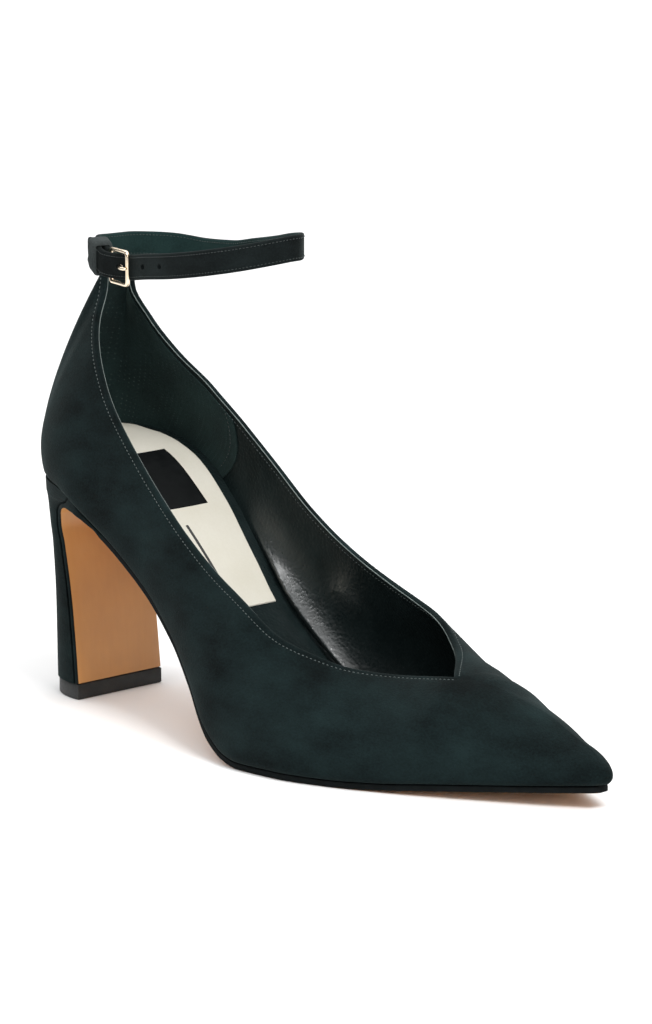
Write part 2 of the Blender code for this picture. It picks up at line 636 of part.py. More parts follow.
def stacked_plain(first, second):
    """Closed bar between two rings of the same count."""
    count = len(first)
    faces = [tuple(range(count))[::-1], tuple(range(count, 2 * count))]
    for k in range(count):
        n = (k + 1) % count
        faces.append((k, n, n + count, k + count))
    return np.vstack([first, second]), faces


for old in list(bpy.data.objects):
    bpy.data.objects.remove(old)

shoe = bpy.data.objects.new("shoe", None)
bpy.context.scene.collection.objects.link(shoe)

suede = material("suede", roughness=0.95)
sock = material("sock", roughness=0.6)
tan = material("tan", roughness=0.45)
hard = material("lift", roughness=0.5)
gold = material("gold", metallic=1.0, roughness=0.25)

upper_solid = upper()
add_mesh("upper", upper_solid, suede)
add_mesh("insole", insole(), sock)
add_mesh("outsole", outsole(), tan)
add_mesh("heel", heel(), suede)
add_mesh("top_lift", top_lift(), hard)
cut_strap_holes(add_mesh("ankle_strap", ankle_strap(), suede))
add_mesh("strap_keeper", strap_keeper(), suede)
add_rod("buckle_frame", buckle_line(), BUCKLE_BAR, True, gold)
add_rod("buckle_prong", prong_line(), PRONG_RADIUS, False, gold)

# The origin goes under the middle of the shoe's box, on the floor.
low, high = upper_solid[0].min(axis=0), upper_solid[0].max(axis=0)
shoe.location = (-0.5 * (low[0] + high[0]) * MM, -0.5 * (low[1] + high[1]) * MM, 0.0)
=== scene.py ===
"""Looks of the right shoe of a pointed suede pump with an ankle strap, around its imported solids.

The sizes below are in millimetres along the shoe's own axes, as in the part's source: x runs forward to
the toe, y to the inner side of the foot and z up from the floor. The finished meshes are in metres.
"""

import bmesh
import bpy
import numpy as np
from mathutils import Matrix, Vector
from mathutils.kdtree import KDTree


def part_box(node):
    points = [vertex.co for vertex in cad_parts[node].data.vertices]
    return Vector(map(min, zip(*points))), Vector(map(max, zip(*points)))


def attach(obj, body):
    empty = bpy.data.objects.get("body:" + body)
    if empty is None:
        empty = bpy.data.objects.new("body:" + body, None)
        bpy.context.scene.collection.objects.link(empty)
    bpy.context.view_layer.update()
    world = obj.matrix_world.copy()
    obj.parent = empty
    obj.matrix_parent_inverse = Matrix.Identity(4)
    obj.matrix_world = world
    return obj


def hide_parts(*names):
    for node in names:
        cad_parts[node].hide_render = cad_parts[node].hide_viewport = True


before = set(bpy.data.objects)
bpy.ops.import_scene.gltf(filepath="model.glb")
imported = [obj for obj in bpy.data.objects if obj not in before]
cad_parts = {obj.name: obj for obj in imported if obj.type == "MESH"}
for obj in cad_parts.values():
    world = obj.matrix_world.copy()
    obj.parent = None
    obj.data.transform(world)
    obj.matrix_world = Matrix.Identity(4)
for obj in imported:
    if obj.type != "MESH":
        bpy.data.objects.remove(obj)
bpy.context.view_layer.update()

MM = 0.001

# Clearances and thicknesses of the solids
GAP = 0.3
WALL = 1.8                # suede and lining together
SOLE_THICK = 2.0
FLAP_THICK = 1.6          # sole leather where it covers the front of the heel
SOLE_INSET = 1.0          # sole edge inside the upper's lower edge
INSOLE_CLEAR = 0.7
LIFT_HEIGHT = 5.0
HEEL_ROUNDNESS = 2.1      # exponent of the heel's rounded back, 2 is an ellipse

# Stations of the upper: 0 at the middle of the back, 100 at the toe, the inner side negative
THROAT_AT = 79.2
TOE_AT = 100.0
BACK_TO = 9.0
BACK_STEPS = 20
SEAM_AT = 43.0            # seam of the inner quarter, with closer stations on both sides of it
SEAM_ZONE = 3.2
SEAM_STEPS = 44
SEAM_BOW = 2.0            # how far forward the seam bows at half height, in stations
QUARTER_STEPS = 80
VAMP_STEPS = 46
NEAR_STATION = 0.05       # step to either side that gives a direction
FINE_ROWS = 160
TOP_ROWS = (0.0, 0.5, 1.0, 1.4, 1.7, 2.0, 2.3, 2.7, 3.3, 4.2, 5.4)
LOWER_ROWS = 30
LOWER_EASE = 1.5          # rows grow closer together towards the lower edge
EDGE_ROUND = 1.8          # height over which the lower edge turns in under the foot
EDGE_TURN = 0.7
RIM_STEPS = 6
RIM_FULL = 0.7            # how round the topline's fold is, 1 is half a circle
RIM_UP_ROW = -3           # row under the topline that shows which way is up there

STITCH_BELOW = 1.3        # stitches under the topline
STITCH_TRACK = 0.4        # half width of the shallow track that they pull into the suede
STITCH_TRACK_DEEP = 0.12
STITCH_PITCH = 1.35
STITCH_LONG = 0.72
STITCH_RISE = 0.9         # a stitch's middle above the surface and the dip of its ends, in radii
STITCH_DIP = 1.5
STITCH_TAPER = (0.6, 0.95, 1.0, 0.95, 0.6)
STITCH_SIDES = 6
THREAD = 0.125            # radius
BEAD = 0.16               # radius of the lining's pale cut edge along the topline
BEAD_SIDES = 8
TOPLINE_SAMPLES = 4000    # places on the topline from which distances are measured

GRIP_AT = 21.2            # front edge of the heel's lining
GRIP_BOW = 1.3
GRIP_THICK = 0.4
GRIP_STEPS = 96
GRIP_ROWS = 40
GRIP_BELOW = 1.6          # below the topline
GRIP_DEEP = 2.5           # below the insole's top
GRIP_BEHIND = 0.1         # sunk into the wall
GRIP_TAKEN_TO = 25.8      # stations of the wall that it is laid on, a few more than it covers
GRIP_STITCH_COLUMNS = (3, -4)  # of its grid, near its front edges
GRIP_STITCH_ROWS = slice(4, -1)
GRIP_HOLE_PITCH = 1.9

SOCK_FRONT_X = 87.3       # cream behind this, black ahead of it
SOCK_THICK = 0.5
SOCK_ACROSS = 14
# Margin between the sock and the wall along the shoe: x, margin
SOCK_INSET = ((10.0, 0.1), (16.0, 0.8), (26.0, 3.4), (62.0, 3.7), (88.0, 5.0))
SOCK_NARROWEST = 2.5      # least width that the margin is taken from, in margins
SOCK_SINK = 0.9           # share of its thickness that lies in the insole's body
SOCK_BEVEL = 0.18
SOCK_DISH = 0.5           # its middle lies lower than its edges, up to where the dish ends
DISH_TO_X = 95.0
DISH_FADE = 40.0
STRIP_STEPS = (40, 12)    # of the patch and the line, along and across
STRIP_THICK = 0.3
PATCH_X = (39.8, 59.8)
PATCH_Y = (-13.4, 12.0)
PATCH_THICK = 0.25
MID_LINE_Y = (-1.9, -0.9)
MID_LINE_X = (64.9, SOCK_FRONT_X, 132.0)
MID_LINE_THICK = 0.12

STRAP_WIDE = 7.8
STRAP_THICK = 1.6
STRAP_STEPS = 360
FINE_STRAP_STEPS = 672
STRAP_TIP = 5.0
STRAP_TIP_WIDE = 3.6
STRAP_CORNER = 0.6
STRAP_STITCH_IN = 1.0     # stitches inside the strap's edges
STRAP_PITCH = 1.1
STRAP_STITCH = 0.55
STRAP_THREAD = 0.1        # radius
STRAP_STITCH_ENDS = slice(6, -6)
STRAP_LINED = 0.35        # faces farther in than this share of the thickness are lined
HOLE_X = (56.8, 68.8, 77.6)
HOLE_RADIUS = 0.9
HOLE_SIDES = 28
PRONG_SLOT = 1.5

KEEPER_FROM_X = 41.4
KEEPER_TO_X = 46.2
KEEPER_THICK = 1.0
KEEPER_STEPS = 9
KEEPER_CORNER = 1.5
KEEPER_ROUND = 0.35
KEEPER_ARC_STEPS = 5
KEEPER_SWAY = 2.8         # uneven course of its back edge
# Where that edge reaches back, as shares of its half height: middle, half width, share of the sway
KEEPER_BULGES = ((-0.35, 0.5, 1.0), (1.15, 0.22, 0.45))
LAYER_SPACING = 2.35

BUCKLE_BACK = (50.3, -18.45)
BUCKLE_FRONT = (62.0, -22.1)
BUCKLE_TALL = 9.9
BUCKLE_MID_Z = 138.95
BUCKLE_BAR = 0.65
BUCKLE_CORNER = 1.2
PRONG_RADIUS = 0.5
PRONG_SLANT = 0.8
PRONG_PAST_BAR = 0.8
PRONG_STEPS = 40
PRONG_START = (0.7, 0.9)  # shares of its radius at its first points and its last ones
PRONG_END = (0.95, 0.8, 0.45)
BUCKLE_CORNER_STEPS = 8
ROD_SIDES = 16
ROD_STEEP = 0.9           # a rod that starts steeper than this takes its first direction from the x axis

# Level of the last's underside along the shoe: x, z
LAST_BOTTOM = (
    (6.0, 70.0), (20.0, 70.0), (29.0, 69.3), (36.0, 67.1), (42.0, 64.0), (49.0, 59.9),
    (57.0, 54.9), (66.0, 48.4), (78.0, 38.7), (90.0, 28.4), (100.0, 20.1), (108.0, 12.4),
    (115.0, 6.9), (122.0, 3.5), (130.0, 2.3), (160.0, 2.3), (175.0, 2.8), (190.0, 4.0),
    (205.0, 5.1), (220.0, 6.2), (236.0, 7.4),
)

# Insole thickness along the shoe, thick where the heel pad lies: x, thickness
INSOLE_THICK = (
    (6.0, 12.9), (20.0, 12.4), (30.0, 11.5), (38.0, 12.0), (45.0, 12.5), (60.0, 10.0), (75.0, 7.4),
    (88.0, 4.7), (100.0, 2.9), (110.0, 2.5), (236.0, 2.2),
)

# Sections of the upper, as in the part's source
SIDE_COLUMNS = ("at", "foot_x", "foot_y", "top_x", "top_y", "top_z", "swell", "rise", "reach", "drop")
OUTER_QUARTER = (
    (0.0, 9.5, 0.0, 31.5, 0.0, 137.7, 6.6, 14.0, 20.5, 30.0),
    (2.6, 10.6, -7.0, 32.0, -3.2, 137.7, 6.0, 14.5, 20.0, 32.0),
    (4.7, 13.0, -12.5, 33.3, -5.6, 136.8, 5.0, 15.0, 17.2, 31.0),
    (6.5, 16.0, -16.5, 33.6, -7.0, 130.5, 4.6, 15.0, 14.6, 26.0),
    (8.7, 20.5, -20.3, 34.8, -11.2, 122.0, 4.7, 14.5, 11.0, 19.0),
    (12.2, 29.0, -24.8, 41.5, -17.6, 111.5, 4.9, 13.0, 5.5, 14.0),
    (17.0, 42.0, -27.3, 52.0, -21.8, 97.5, 4.0, 10.0, 3.5, 10.0),
    (24.0, 57.0, -26.7, 64.5, -24.2, 85.2, 3.5, 9.0, 3.0, 9.0),
    (31.5, 72.0, -26.3, 77.5, -25.6, 73.2, 3.5, 9.0, 2.5, 9.0),
    (38.5, 86.0, -28.2, 90.5, -26.5, 62.5, 3.0, 9.0, 3.0, 9.0),
    (45.7, 100.0, -33.2, 104.5, -27.3, 53.0, 2.5, 10.0, 3.5, 10.0),
    (53.0, 116.0, -39.6, 119.0, -28.0, 45.4, 2.8, 11.0, 4.5, 12.0),
    (59.0, 131.0, -42.0, 131.0, -26.8, 38.0, 2.5, 11.0, 6.0, 9.0),
    (64.5, 146.0, -41.0, 143.0, -22.8, 33.5, 2.0, 11.0, 8.0, 6.0),
    (69.7, 160.0, -37.2, 154.0, -17.2, 30.4, 1.6, 11.0, 9.0, 4.0),
    (74.8, 173.0, -32.0, 165.0, -10.3, 29.4, 1.5, 11.0, 10.0, 3.0),
    (THROAT_AT, 184.0, -26.9, 182.6, -5.0, 30.9, 1.4, 11.0, 12.0, 4.0),
)
INNER_QUARTER = (
    (0.0, 9.5, 0.0, 31.5, 0.0, 137.7, 6.6, 14.0, 20.5, 30.0),
    (2.6, 10.6, 7.0, 32.0, 3.2, 137.7, 6.0, 14.5, 20.0, 30.0),
    (4.7, 13.0, 12.5, 33.2, 5.4, 136.5, 5.2, 15.0, 17.8, 28.0),
    (6.5, 16.0, 16.3, 33.2, 6.4, 128.5, 4.8, 15.0, 15.0, 23.0),
    (8.7, 20.5, 19.6, 35.4, 11.4, 118.6, 4.7, 14.5, 11.0, 18.0),
    (12.2, 29.0, 23.2, 41.2, 17.2, 107.8, 5.2, 13.0, 5.5, 13.0),
    (17.0, 42.0, 24.6, 51.5, 22.6, 97.0, 5.0, 11.0, 2.5, 10.0),
    (24.0, 57.0, 22.6, 65.5, 24.6, 85.2, 5.5, 10.0, 1.5, 9.0),
    (31.5, 72.0, 20.0, 79.5, 25.1, 74.0, 6.5, 10.0, 1.0, 9.0),
    (38.5, 86.0, 19.5, 93.5, 25.0, 63.4, 7.0, 10.0, 1.2, 9.0),
    (45.7, 100.0, 22.0, 107.0, 24.8, 55.5, 6.0, 11.0, 2.5, 10.0),
    (53.0, 116.0, 28.0, 121.0, 24.4, 49.3, 4.0, 12.0, 4.0, 12.0),
    (59.0, 131.0, 33.4, 134.0, 23.3, 45.2, 2.5, 12.0, 6.0, 11.0),
    (64.5, 146.0, 36.8, 147.0, 21.2, 42.0, 1.8, 12.0, 8.0, 8.0),
    (69.7, 160.0, 36.7, 157.5, 17.0, 39.8, 1.5, 12.0, 9.0, 6.8),
    (74.8, 173.0, 34.0, 168.5, 10.8, 35.2, 1.4, 12.5, 11.0, 3.6),
    (THROAT_AT, 184.0, 30.4, 182.6, -5.0, 30.9, 1.4, 12.5, 16.5, -5.6),
)
VAMP_COLUMNS = ("at", "outer_x", "outer_y", "inner_x", "inner_y", "top_x", "top_y", "top_z",
                "swell", "rise", "outer_reach", "outer_drop", "inner_reach", "inner_drop")
VAMP = (
    (84.0, 196.0, -20.7, 196.0, 25.4, 189.5, -1.5, 30.2, 1.2, 10.0, 12.0, 3.2, 15.5, -3.4),
    (89.0, 208.0, -14.2, 208.0, 19.4, 200.0, 2.4, 26.9, 1.0, 9.0, 9.0, 1.0, 11.0, 0.5),
    (93.5, 219.0, -8.2, 219.0, 13.8, 212.0, 4.4, 22.6, 0.8, 7.0, 6.5, 0.9, 6.5, 0.9),
    (97.2, 227.6, -2.8, 227.6, 9.2, 221.5, 4.5, 18.2, 0.9, 5.5, 4.5, 0.8, 4.5, 0.8),
    (99.0, 232.6, 0.8, 232.6, 6.5, 226.5, 4.2, 16.4, 1.3, 4.5, 4.2, 0.6, 4.2, 0.6),
    (100.0, 234.2, 4.0, 234.2, 4.0, 229.5, 4.0, 14.8, 1.6, 4.0, 4.2, 0.5, 4.2, 0.5),
)

# The sole's underside over the heel front and the heel's back: x, z, outer, inner, back x, back z
BREAST = (
    (32.6, 5.3, -18.5, 16.4, 11.5, 5.3),
    (31.2, 20.0, -18.4, 16.3, 11.8, 20.0),
    (29.0, 36.0, -18.2, 16.2, 12.2, 36.0),
    (26.6, 49.0, -18.2, 16.4, 12.4, 49.0),
    (25.5, 55.0, -18.6, 17.0, 12.2, 56.0),
    (26.3, 58.6, -19.5, 18.0, 11.8, 60.5),
    (29.0, 60.9, -21.4, 19.8, 11.1, 64.2),
    (33.0, 61.9, -23.4, 21.6, 10.5, 66.6),
    (37.5, 61.7, -25.2, 23.0, 10.3, 67.6),
    (42.0, 60.6, -26.2, 23.6, 10.3, 67.6),
    (46.0, 59.0, -26.2, 23.2, 10.3, 67.6),
    (49.0, 57.7, -26.1, 22.8, 10.3, 67.6),
)
HEEL_TOP_ROW = 7
HEEL_STEPS = 60
HEEL_RING = 72
HEEL_BEVEL = 0.5
LIFT_BEVEL = 0.45
LIFT_EASE = ((0.0, 1.0), (0.4, 0.15), (1.0, 0.0))  # its lower edge: level and inset, in bevels
LIFT_TOP_BEVEL = 0.3
SEAT_OVERHANG = 4.0       # the heel's top reaches this far past its front
SEAT_HALF = (-25.2, 22.8)
SEAT_FROM_X = 33.0        # from here on the flap thickens until it fills the room under the upper
SEAT_BLEND = 4.0
FILL_TURNS = 6
SOLE_FROM_X = 53.0
SOLE_TO_X = 232.0
SOLE_STEPS = 150
SOLE_EASE = 1.15
SOLE_CORNER = 0.5
SOLE_CORNER_STEPS = 3
SOLE_ACROSS = 10
COVERED_EDGE_TO_X = 53.0  # suede covers the sole's edge over the heel front and beside the heel seat
EDGE_SAMPLES = 400
FLAP_STEPS = 72

# Middle of the ankle strap from its free end to the end that holds the buckle: x, y, z
STRAP_PATH = (
    (35.5, -13.9, 143.2), (40.0, -17.2, 142.2), (45.0, -19.2, 140.8), (50.0, -20.3, 139.3),
    (55.0, -20.2, 139.1), (60.0, -20.0, 139.2), (70.0, -21.6, 140.4), (83.0, -23.0, 141.9),
    (97.0, -21.6, 144.0), (108.0, -15.5, 146.2), (114.0, -8.0, 147.9), (115.2, -3.0, 148.4),
    (111.5, 2.8, 148.2), (101.0, 9.2, 146.8), (88.0, 14.8, 144.4), (74.0, 19.3, 142.1),
    (61.0, 21.6, 140.1), (49.0, 21.8, 139.7), (40.0, 18.5, 140.7), (34.5, 11.5, 141.4),
    (32.3, 3.5, 141.8), (32.3, -3.0, 141.8), (34.5, -9.3, 142.2), (39.5, -13.9, 142.3),
    (45.0, -16.6, 141.0), (49.0, -17.7, 139.8),
)

# Camera, in metres: the photograph's place, turned to the shoe, which the lens draws closer
CAMERA_AT = (0.7947, -0.7699, 0.2846)
CAMERA_AIM = (0.0, 0.0062, 0.0694)
CAMERA_LENS = 133.7
CAMERA_SENSOR = 36.0

# Lights: name, place and aim in metres, size in metres, power in watts
LIGHTS = (
    ("overhead", (-2.2, 2.2, 2.8), (-2.2, 2.2, 0.0), 7.0, 275.0),
    ("overhead_front", (2.6, -2.6, 2.8), (2.6, -2.6, 0.0), 6.0, 70.0),
    ("sock", (0.85, -0.15, 1.4), (-0.05, 0.0, 0.06), 0.6, 20.0),
    ("key", (-0.2, -1.1, 1.0), (0.0, 0.0, 0.05), 0.4, 4.0),
    ("front", (1.7, -1.2, 0.6), (-0.05, 0.0, 0.04), 0.6, 5.0),
)
WORLD_LIGHT = 0.2
FLOOR_HALF = 9.0          # in metres
FLOOR_TONE = 0.82

SEAM_GROOVE = 0.22        # half width of the inner quarter's seam, in stations
SEAM_DEEP = 0.4
SEAM_FADE = 3.0           # the seam's groove fades out towards the topline
SEAM_FADE_FROM = 0.5
SEAM_STITCH = 0.7         # its stitches lie this far behind it, in stations
SEAM_STITCH_ROWS = (3, 10)  # rows of the grid left free at its lower and upper ends

# Soft hollows, and ridges where the depth is negative: start, end, width, depth
SUEDE_CREASES = (
    ((118.0, -40.0, 12.0), (150.0, -36.0, 16.0), 7.0, 0.35),
    ((96.0, -32.0, 40.0), (120.0, -38.0, 20.0), 6.0, -0.3),
    ((55.0, -29.0, 72.0), (75.0, -29.0, 60.0), 8.0, 0.35),
    ((20.0, -24.0, 84.0), (34.0, -27.0, 92.0), 7.0, -0.3),
)
LINING_CREASES = (
    ((103.4, 24.7, 40.4), (108.9, 25.4, 35.4), 0.9, 0.5),
    ((104.6, 24.8, 40.8), (109.9, 25.5, 35.6), 0.7, -0.25),
    ((105.6, 24.9, 41.2), (110.9, 25.6, 35.9), 0.9, 0.5),
    ((107.2, 24.9, 41.4), (111.7, 25.6, 35.7), 0.7, -0.25),
    ((108.8, 24.9, 41.6), (112.6, 25.7, 35.4), 0.9, 0.45),
)
# The inner side's lining stands off the wall in a soft fold along the insole
FOLD_AT = (26.0, 38.0, 56.0, 66.0)  # stations where it starts, is full, fades and ends
FOLD_UP = 1.4             # its crest above the insole
FOLD_BELOW = 1.0          # height over which it falls off below the crest, and above it
FOLD_ABOVE = 9.5
FOLD_HIGH = 2.6
SHINE_UP = 4.0            # middle and half height of the glossy stretch above the insole
SHINE_TALL = 8.5
# The wrinkles of the lining catch the light as well
WRINKLED_AT = (108.0, 25.2, 38.5)
WRINKLED_WIDE = 6.0
WRINKLED_SHINE = 0.7

# Darkest and lightest colour of each finish
TONES = {
    "suede": ((0.0007, 0.0023, 0.0025), (0.0074, 0.0161, 0.0167)),
    "strap_suede": ((0.0012, 0.0020, 0.0021), (0.0080, 0.0120, 0.0123)),
    "strap_lining": ((0.0055, 0.0150, 0.0143), (0.0130, 0.0320, 0.0305)),
    "keeper_suede": ((0.024, 0.029, 0.029), (0.060, 0.068, 0.068)),
    "grip_suede": ((0.0042, 0.0100, 0.0099), (0.0115, 0.0275, 0.0262)),
    "lining_leather": ((0.0058, 0.0100, 0.0102), (0.0100, 0.0160, 0.0163)),
    "sock_leather": ((0.565, 0.538, 0.455), (0.615, 0.592, 0.518)),
    "patch_leather": ((0.0026, 0.0034, 0.0036), (0.0050, 0.0060, 0.0062)),
    "line_dark": ((0.02, 0.02, 0.02), (0.035, 0.035, 0.035)),
    "line_pale": ((0.62, 0.62, 0.60), (0.72, 0.72, 0.70)),
    "sole_leather": ((0.465, 0.220, 0.070), (0.530, 0.262, 0.087)),
    "sole_edge": ((0.0025, 0.0038, 0.0040), (0.0055, 0.0075, 0.0080)),
    "cut_edge": ((0.10, 0.125, 0.12), (0.17, 0.205, 0.195)),
    "sewing_thread": ((0.036, 0.050, 0.048), (0.085, 0.108, 0.104)),
    "fine_thread": ((0.014, 0.020, 0.019), (0.036, 0.048, 0.046)),
    "buckle_gold": ((0.86, 0.70, 0.50), (0.93, 0.80, 0.62)),
    "hard_rubber": ((0.014, 0.016, 0.016), (0.025, 0.027, 0.027)),
}
AIR_HOLE = (0.032, 0.050, 0.047)  # the small holes in the heel's lining

# Short names of the shader's sockets
SOCKETS = {
    "colour": "Base Color", "rough": "Roughness", "metal": "Metallic", "gloss": "Specular IOR Level",
    "sheen": "Sheen Weight", "sheen_rough": "Sheen Roughness", "sheen_tint": "Sheen Tint",
    "coat": "Coat Weight", "coat_rough": "Coat Roughness",
}

# The shoe's own axes in the frame: the wearing piece gives the offset
SHIFT = np.array([
    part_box("top_lift")[0].x / MM - BREAST[0][4],
    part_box("top_lift")[0].y / MM - BREAST[0][2],
    0.0,
])


# Curves and sections, as in the part's source

def smooth(rows, at):
    """Curve through the rows, by their first column, that does not swing past them."""
    table = np.asarray(rows, float)
    knots, values = table[:, 0], table[:, 1:]
    step = np.diff(knots)[:, None]
    slope = np.diff(values, axis=0) / step
    tangent = np.vstack([slope[:1], np.zeros_like(slope[1:]), slope[-1:]])
    before, after = slope[:-1], slope[1:]
    near, far = step[1:] + 2 * step[:-1], 2 * step[1:] + step[:-1]
    same = before * after > 0
    bottom = np.where(same, far * after + near * before, 1.0)
    tangent[1:-1] = np.where(same, (near + far) * before * after / bottom, 0.0)
    at = np.atleast_1d(np.asarray(at, float))
    i = np.clip(np.searchsorted(knots, at, side="right") - 1, 0, len(knots) - 2)
    h = step[i]
    t = ((at - knots[i])[:, None]) / h
    start = (1 + 2 * t) * (1 - t) ** 2 * values[i] + t * (1 - t) ** 2 * h * tangent[i]
    end = t * t * (3 - 2 * t) * values[i + 1] - t * t * (1 - t) * h * tangent[i + 1]
    return start + end


def run_length(points):
    """Distance along a line up to each of its points."""
    return np.concatenate([[0.0], np.cumsum(np.linalg.norm(np.diff(points, axis=0), axis=1))])


def along(points, count):
    """The given number of evenly spaced points on a smooth curve through the points."""
    points = np.asarray(points, float)
    length = run_length(points[:, :2])
    return smooth(np.column_stack([length, points]), np.linspace(0.0, length[-1], count))


def at_places(places, length, values):
    """Values in three columns at places along a line, whose length up to each row is given."""
    return np.column_stack([np.interp(places, length, values[:, i]) for i in range(3)])


def left_normals(points):
    """Unit normals to the left of a plane curve's direction."""
    run = unit(np.gradient(points[:, :2], axis=0))
    return np.column_stack([-run[:, 1], run[:, 0]])


def unit(vectors):
    """The vectors at length one."""
    size = np.linalg.norm(vectors, axis=-1, keepdims=True)
    return vectors / np.where(size > 0, size, 1.0)


def last_bottom(x):
    """Level of the last's underside."""
    return smooth(LAST_BOTTOM, x)[:, 0]


def insole_level(x):
    """Level of the insole's top."""
    return last_bottom(x) + smooth(INSOLE_THICK, x)[:, 0]


def side_table(side):
    """All rows of one side, back to toe, under the quarter's column names."""
    quarter = OUTER_QUARTER if side == "outer" else INNER_QUARTER
    rows = [list(row) for row in quarter]
    for row in VAMP:
        cell = dict(zip(VAMP_COLUMNS, row))
        cell["foot_x"], cell["foot_y"] = cell[side + "_x"], cell[side + "_y"]
        cell["reach"], cell["drop"] = cell[side + "_reach"], cell[side + "_drop"]
        rows.append([cell[name] for name in SIDE_COLUMNS])
    return np.array(rows)


def ring_table():
    """Both sides as one closed run of stations, the inner side at negative stations."""
    outer, inner = side_table("outer"), side_table("inner")
    mirrored = inner[1:-1].copy()
    mirrored[:, 0] *= -1.0
    ring = np.vstack([mirrored[::-1], outer])
    before, after = ring.copy(), ring.copy()
    before[:, 0] -= 2 * TOE_AT
    after[:, 0] += 2 * TOE_AT
    return np.vstack([before, ring, after])


def foot_ring(stations):
    """Points of the upper's lower edge and the directions that point out of the shoe there."""
    edge = ring_table()[:, :3]
    run = unit(smooth(edge, stations + NEAR_STATION) - smooth(edge, stations - NEAR_STATION))
    return smooth(edge, stations), np.column_stack([run[:, 1], -run[:, 0]])


def top_points(stations):
    """Points of the topline behind the throat and of the vamp's ridge ahead of it."""
    outer, inner = side_table("outer"), side_table("inner")
    top = [SIDE_COLUMNS.index(name) for name in ("at", "top_x", "top_y", "top_z")]
    behind_outer = outer[outer[:, 0] <= THROAT_AT][:, top]
    behind_inner = inner[inner[:, 0] <= THROAT_AT][1:, top]
    behind_inner[:, 0] *= -1.0
    topline = np.vstack([behind_inner[::-1], behind_outer])
    ridge = outer[outer[:, 0] >= THROAT_AT][:, top]
    distance = np.abs(stations)
    ahead = distance > THROAT_AT
    points = np.where(ahead[:, None], smooth(ridge, distance), smooth(topline, stations))
    step = smooth(ridge, np.minimum(distance + NEAR_STATION, TOE_AT)) - smooth(ridge, distance - NEAR_STATION)
    slope = np.where(ahead, step[:, 2] / np.where(ahead, step[:, 0], 1.0), 0.0)
    return points, slope


def section_curves(stations):
    """Fine points of the upper's outer surface on each station's section, from the top down."""
    foot, out = foot_ring(stations)
    top, slope = top_points(stations)
    shape = [SIDE_COLUMNS.index(name) for name in ("at", "swell", "rise", "reach", "drop")]
    swell, rise, reach, drop = smooth(ring_table()[:, shape], stations).T
    low = np.column_stack([foot, last_bottom(foot[:, 0])])
    above = low + np.column_stack([out * swell[:, None], rise])
    under = top + np.column_stack([out * reach[:, None], slope * out[:, 0] * reach - drop])
    v = np.linspace(1.0, 0.0, FINE_ROWS)[None, :, None]
    curves = (1 - v) ** 3 * low[:, None] + 3 * v * (1 - v) ** 2 * above[:, None]
    return curves + 3 * v * v * (1 - v) * under[:, None] + v ** 3 * top[:, None], out


def side_stations():
    """Stations of one side from the back to the toe, closer at the back and at the quarter's seam."""
    back = np.linspace(0.0, BACK_TO, BACK_STEPS + 1)
    quarter = np.linspace(BACK_TO, THROAT_AT, QUARTER_STEPS + 1)[1:-1]
    quarter = quarter[np.abs(quarter - SEAM_AT) > SEAM_ZONE]
    seam = np.linspace(SEAM_AT - SEAM_ZONE, SEAM_AT + SEAM_ZONE, SEAM_STEPS)
    vamp = np.linspace(THROAT_AT, TOE_AT, VAMP_STEPS + 1)
    return np.concatenate([back, np.sort(np.concatenate([quarter, seam])), vamp])


def soft_line(points, start, end, width):
    """How near each point is to a line between two places: 1 on it, fading softly beside and past it."""
    start, end = np.asarray(start, float), np.asarray(end, float)
    run = end - start
    t = np.clip((points - start) @ run / (run @ run), 0.0, 1.0)
    away = np.linalg.norm(points - (start + t[:, None] * run), axis=1)
    return np.exp(-(away / width) ** 2)


def grid_quads(index):
    """Faces of a grid of vertex numbers."""
    corners = [index[:-1, :-1], index[1:, :-1], index[1:, 1:], index[:-1, 1:]]
    return np.stack(corners, axis=-1).reshape(-1, 4)


